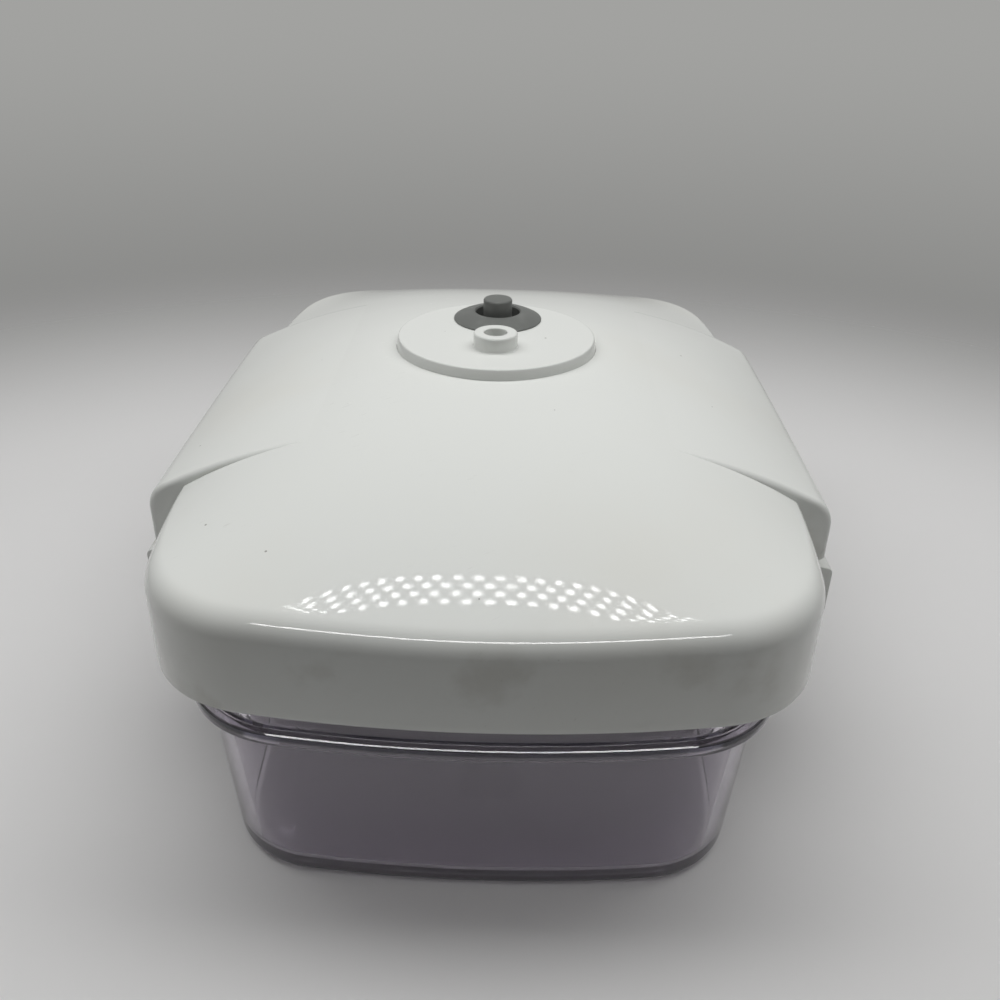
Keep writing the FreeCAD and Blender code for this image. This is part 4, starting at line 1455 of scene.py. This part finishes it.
@dataclass(frozen=True)
class Studio:
    """A pale floor, a soft bar of light overhead with cells that show in the gloss, and the camera."""

    floor_half: float = 8.0
    floor_drop: float = 0.0004
    floor_colour: Colour = (0.79, 0.785, 0.78)
    floor_mottle: Quad = (9.0, 4.0, 0.35, 0.75)
    floor_mottling: float = 0.12
    floor_darker: float = 0.9
    floor_gloss: float = 0.65
    floor_middle: float = -0.10
    floor_fade: Pair = (0.27, 0.56)
    front_fade: Pair = (0.14, 0.22)
    air: float = 0.07
    backdrop_high: Colour = (0.362, 0.362, 0.352)
    backdrop_low: Colour = (0.255, 0.255, 0.249)
    backdrop_band: Pair = (-0.32, -0.04)
    bar_place: Triple = (0.0, 0.055, 0.577)
    bar_size: Pair = (1.20, 0.27)
    bar_power: float = 3.60
    fill_place: Triple = (0.0, -0.34, 0.50)
    fill_size: Pair = (0.60, 0.26)
    fill_power: float = 0.39
    strip_place: Triple = (0.0, -0.58, 0.577)
    strip_half: Pair = (0.40, 0.035)
    strip_glow: float = 13.0
    cells_place: Triple = (0.0, 0.0482, 0.577)
    cell_pitch: Pair = (0.0170, 0.0135)
    cell_count: tuple[int, int] = (22, 4)
    cell_radius: float = 0.0043
    cell_core: float = 0.7
    row_step: Pair = (0.999, 1.001)
    cell_glow: float = 16.0
    camera_place: Triple = (0.00552, -0.26208, 0.18864)
    camera_pitch: float = 28.98
    camera_yaw: float = -0.79
    camera_roll: float = 1.15
    camera_lens: float = 35.68
    camera_sensor: float = 36.0
    camera_near: float = 0.01

    def build(self) -> None:
        """Makes the floor, the light and the camera."""
        bpy.context.scene.view_settings.view_transform = "Standard"
        self.add_floor()
        self.add_air()
        self.add_lamp("light_bar", self.bar_place, self.bar_size, self.bar_power)
        self.add_lamp("front_fill", self.fill_place, self.fill_size, self.fill_power)
        self.add_cells()
        self.add_strip()
        self.add_camera()

    def plate(self, name: str, half: Pair, place: Sequence[float]) -> bpy.types.Object:
        """A level rectangle that isn't part of the object.

        Args:
            name: its name.
            half: half its width and half its depth.
            place: its middle.

        Returns:
            The rectangle.
        """
        corners = np.array([(-1.0, -1.0), (1.0, -1.0), (1.0, 1.0), (-1.0, 1.0)]) * half
        mesh = bpy.data.meshes.new(name)
        mesh.from_pydata((level(corners, 0.0) + place).tolist(), [], [[0, 1, 2, 3]])
        made = new_object(name, mesh)
        return made

    def add_floor(self) -> None:
        """The floor, with a faint mottle, which fades out some way from the object.

        In front of the object it throws no light back, and only shows.
        """
        floor = self.plate("floor", (self.floor_half, self.floor_half), (0.0, 0.0, -self.floor_drop))
        material, paint = new_paint("pale_floor")
        darker = tuple(self.floor_darker * part for part in self.floor_colour)
        shade = paint.mix(paint.patches(*self.floor_mottle) * self.floor_mottling, self.floor_colour, darker)
        solid = paint.node("ShaderNodeBsdfPrincipled", {}, {"Base Color": shade, "Roughness": self.floor_gloss})
        gone = paint.node("ShaderNodeBsdfTransparent", {}, {})
        x, y, _ = paint.axes(paint.place())
        out = y - self.floor_middle
        kept = 1.0 - paint.band((x * x + out * out) ** 0.5, *self.floor_fade)
        seen = paint.rays("Is Camera Ray", "Is Transmission Ray")
        kept = kept * (1.0 - paint.band(0.0 - y, *self.front_fade) * (1.0 - seen))
        ends = paint.node("ShaderNodeMixShader", {}, {0: kept, 1: gone, 2: solid})
        paint.node("ShaderNodeOutputMaterial", {}, {"Surface": ends})
        floor.data.materials.append(material)

    def add_air(self) -> None:
        """The even light all round, and the grey that shows beyond the floor, in gloss and through the box."""
        world = bpy.data.worlds.new("studio_air")
        world.use_nodes = True
        bpy.context.scene.world = world
        paint = Paint(world.node_tree)
        seen = paint.rays("Is Camera Ray", "Is Glossy Ray", "Is Transmission Ray")
        even = (self.air, self.air, self.air)
        _, _, z = paint.axes(paint.node("ShaderNodeTexCoord", {}, {}, "Generated"))
        back = paint.mix(paint.band(z, *self.backdrop_band), self.backdrop_low, self.backdrop_high)
        shade = paint.mix(seen, even, back)
        glow = paint.node("ShaderNodeBackground", {}, {"Color": shade})
        paint.node("ShaderNodeOutputWorld", {}, {"Surface": glow})

    def add_lamp(self, name: str, place: Sequence[float], size: Pair, power: float) -> None:
        """A soft rectangle of light that faces down and doesn't show in the gloss.

        Args:
            name: the lamp's name.
            place: where it hangs.
            size: its width and its depth.
            power: its power in watts.
        """
        lamp = bpy.data.lights.new(name, "AREA")
        lamp.shape = "RECTANGLE"
        lamp.size, lamp.size_y = size
        lamp.energy = power
        made = new_object(name, lamp)
        made.location = place
        made.visible_glossy = False

    def glow(self, panel: bpy.types.Object, paint: Paint, material: Material, strength: Value) -> None:
        """Lights a panel that only gloss and clear pieces see.

        Args:
            panel: the panel.
            paint: the tree of its material.
            material: its material.
            strength: the strength of the glow, even or over the panel.
        """
        shade = paint.node("ShaderNodeCombineColor", {}, {0: strength, 1: strength, 2: strength})
        light = paint.node("ShaderNodeEmission", {}, {"Color": shade})
        paint.node("ShaderNodeOutputMaterial", {}, {"Surface": light})
        panel.data.materials.append(material)
        panel.visible_camera = False
        panel.visible_diffuse = False
        panel.visible_shadow = False

    def add_strip(self) -> None:
        """The long strip of light in front, which draws the thin lines on the shoulder and the lip."""
        panel = self.plate("light_strip", self.strip_half, self.strip_place)
        material, paint = new_paint("light_strip_glow")
        self.glow(panel, paint, material, self.strip_glow)

    def add_cells(self) -> None:
        """The bar's cells, which only gloss sees: dots on a staggered grid."""
        count_x, count_y = self.cell_count
        pitch_x, pitch_y = self.cell_pitch
        half = (count_x * pitch_x / 2.0, count_y * pitch_y / 2.0)
        panel = self.plate("light_cells", half, self.cells_place)
        material, paint = new_paint("light_cell_glow")
        across, along, _ = paint.axes(paint.place())
        along = along - (self.cells_place[1] - half[1])
        low, high = self.row_step
        stagger = paint.band(along % (2.0 * pitch_y), pitch_y * low, pitch_y * high) * (pitch_x / 2.0)
        x = (across + stagger) % pitch_x - pitch_x / 2.0
        y = along % pitch_y - pitch_y / 2.0
        radius = (x * x + y * y) ** 0.5
        glow = (1.0 - paint.band(radius, self.cell_radius * self.cell_core, self.cell_radius)) * self.cell_glow
        self.glow(panel, paint, material, glow)
        panel.visible_transmission = False

    def add_camera(self) -> None:
        """The camera at the photograph's place: pitch, then yaw, then roll about its own view line."""
        pitch, yaw, roll = np.radians([self.camera_pitch, self.camera_yaw, self.camera_roll])
        ahead = Vector((np.sin(yaw) * np.cos(pitch), np.cos(yaw) * np.cos(pitch), -np.sin(pitch)))
        right = Vector((np.cos(yaw), -np.sin(yaw), 0.0))
        up = right.cross(ahead)
        right, up = right * np.cos(roll) + up * np.sin(roll), up * np.cos(roll) - right * np.sin(roll)
        data = bpy.data.cameras.new("camera")
        data.sensor_width = self.camera_sensor
        data.lens = self.camera_lens
        data.clip_start = self.camera_near
        made = new_object("camera", data)
        axes = Matrix((right, up, -ahead)).transposed()
        made.matrix_world = Matrix.Translation(self.camera_place) @ axes.to_4x4()
        bpy.context.scene.camera = made


def main() -> None:
    """Builds the canister's pieces in order, then the studio."""
    logging.basicConfig(level=logging.INFO)
    white = Look(WhitePlastic().material(), Slot.WHITE)
    grey = Look(GREY_PLASTIC.material(), Slot.GREY)
    soft = Look(SILICONE.material(), Slot.SOFT)
    steel = Look(Steel().material(), Slot.STEEL)
    ClearBox().build(Look(SmokePlastic().material(), Slot.CLEAR))
    LidShell().build(white)
    InnerLid().build(white)
    Seals().build(soft)
    ReleaseValve().build(grey, steel)
    for side in Side:
        Latch(side).build(white, steel)
    finish_plain_nodes({"check_valve_seat": white, "bezel_nut": grey, "stem_clip": steel, "lid_screws": steel})
    Studio().build()


if __name__ == "__main__":
    main()
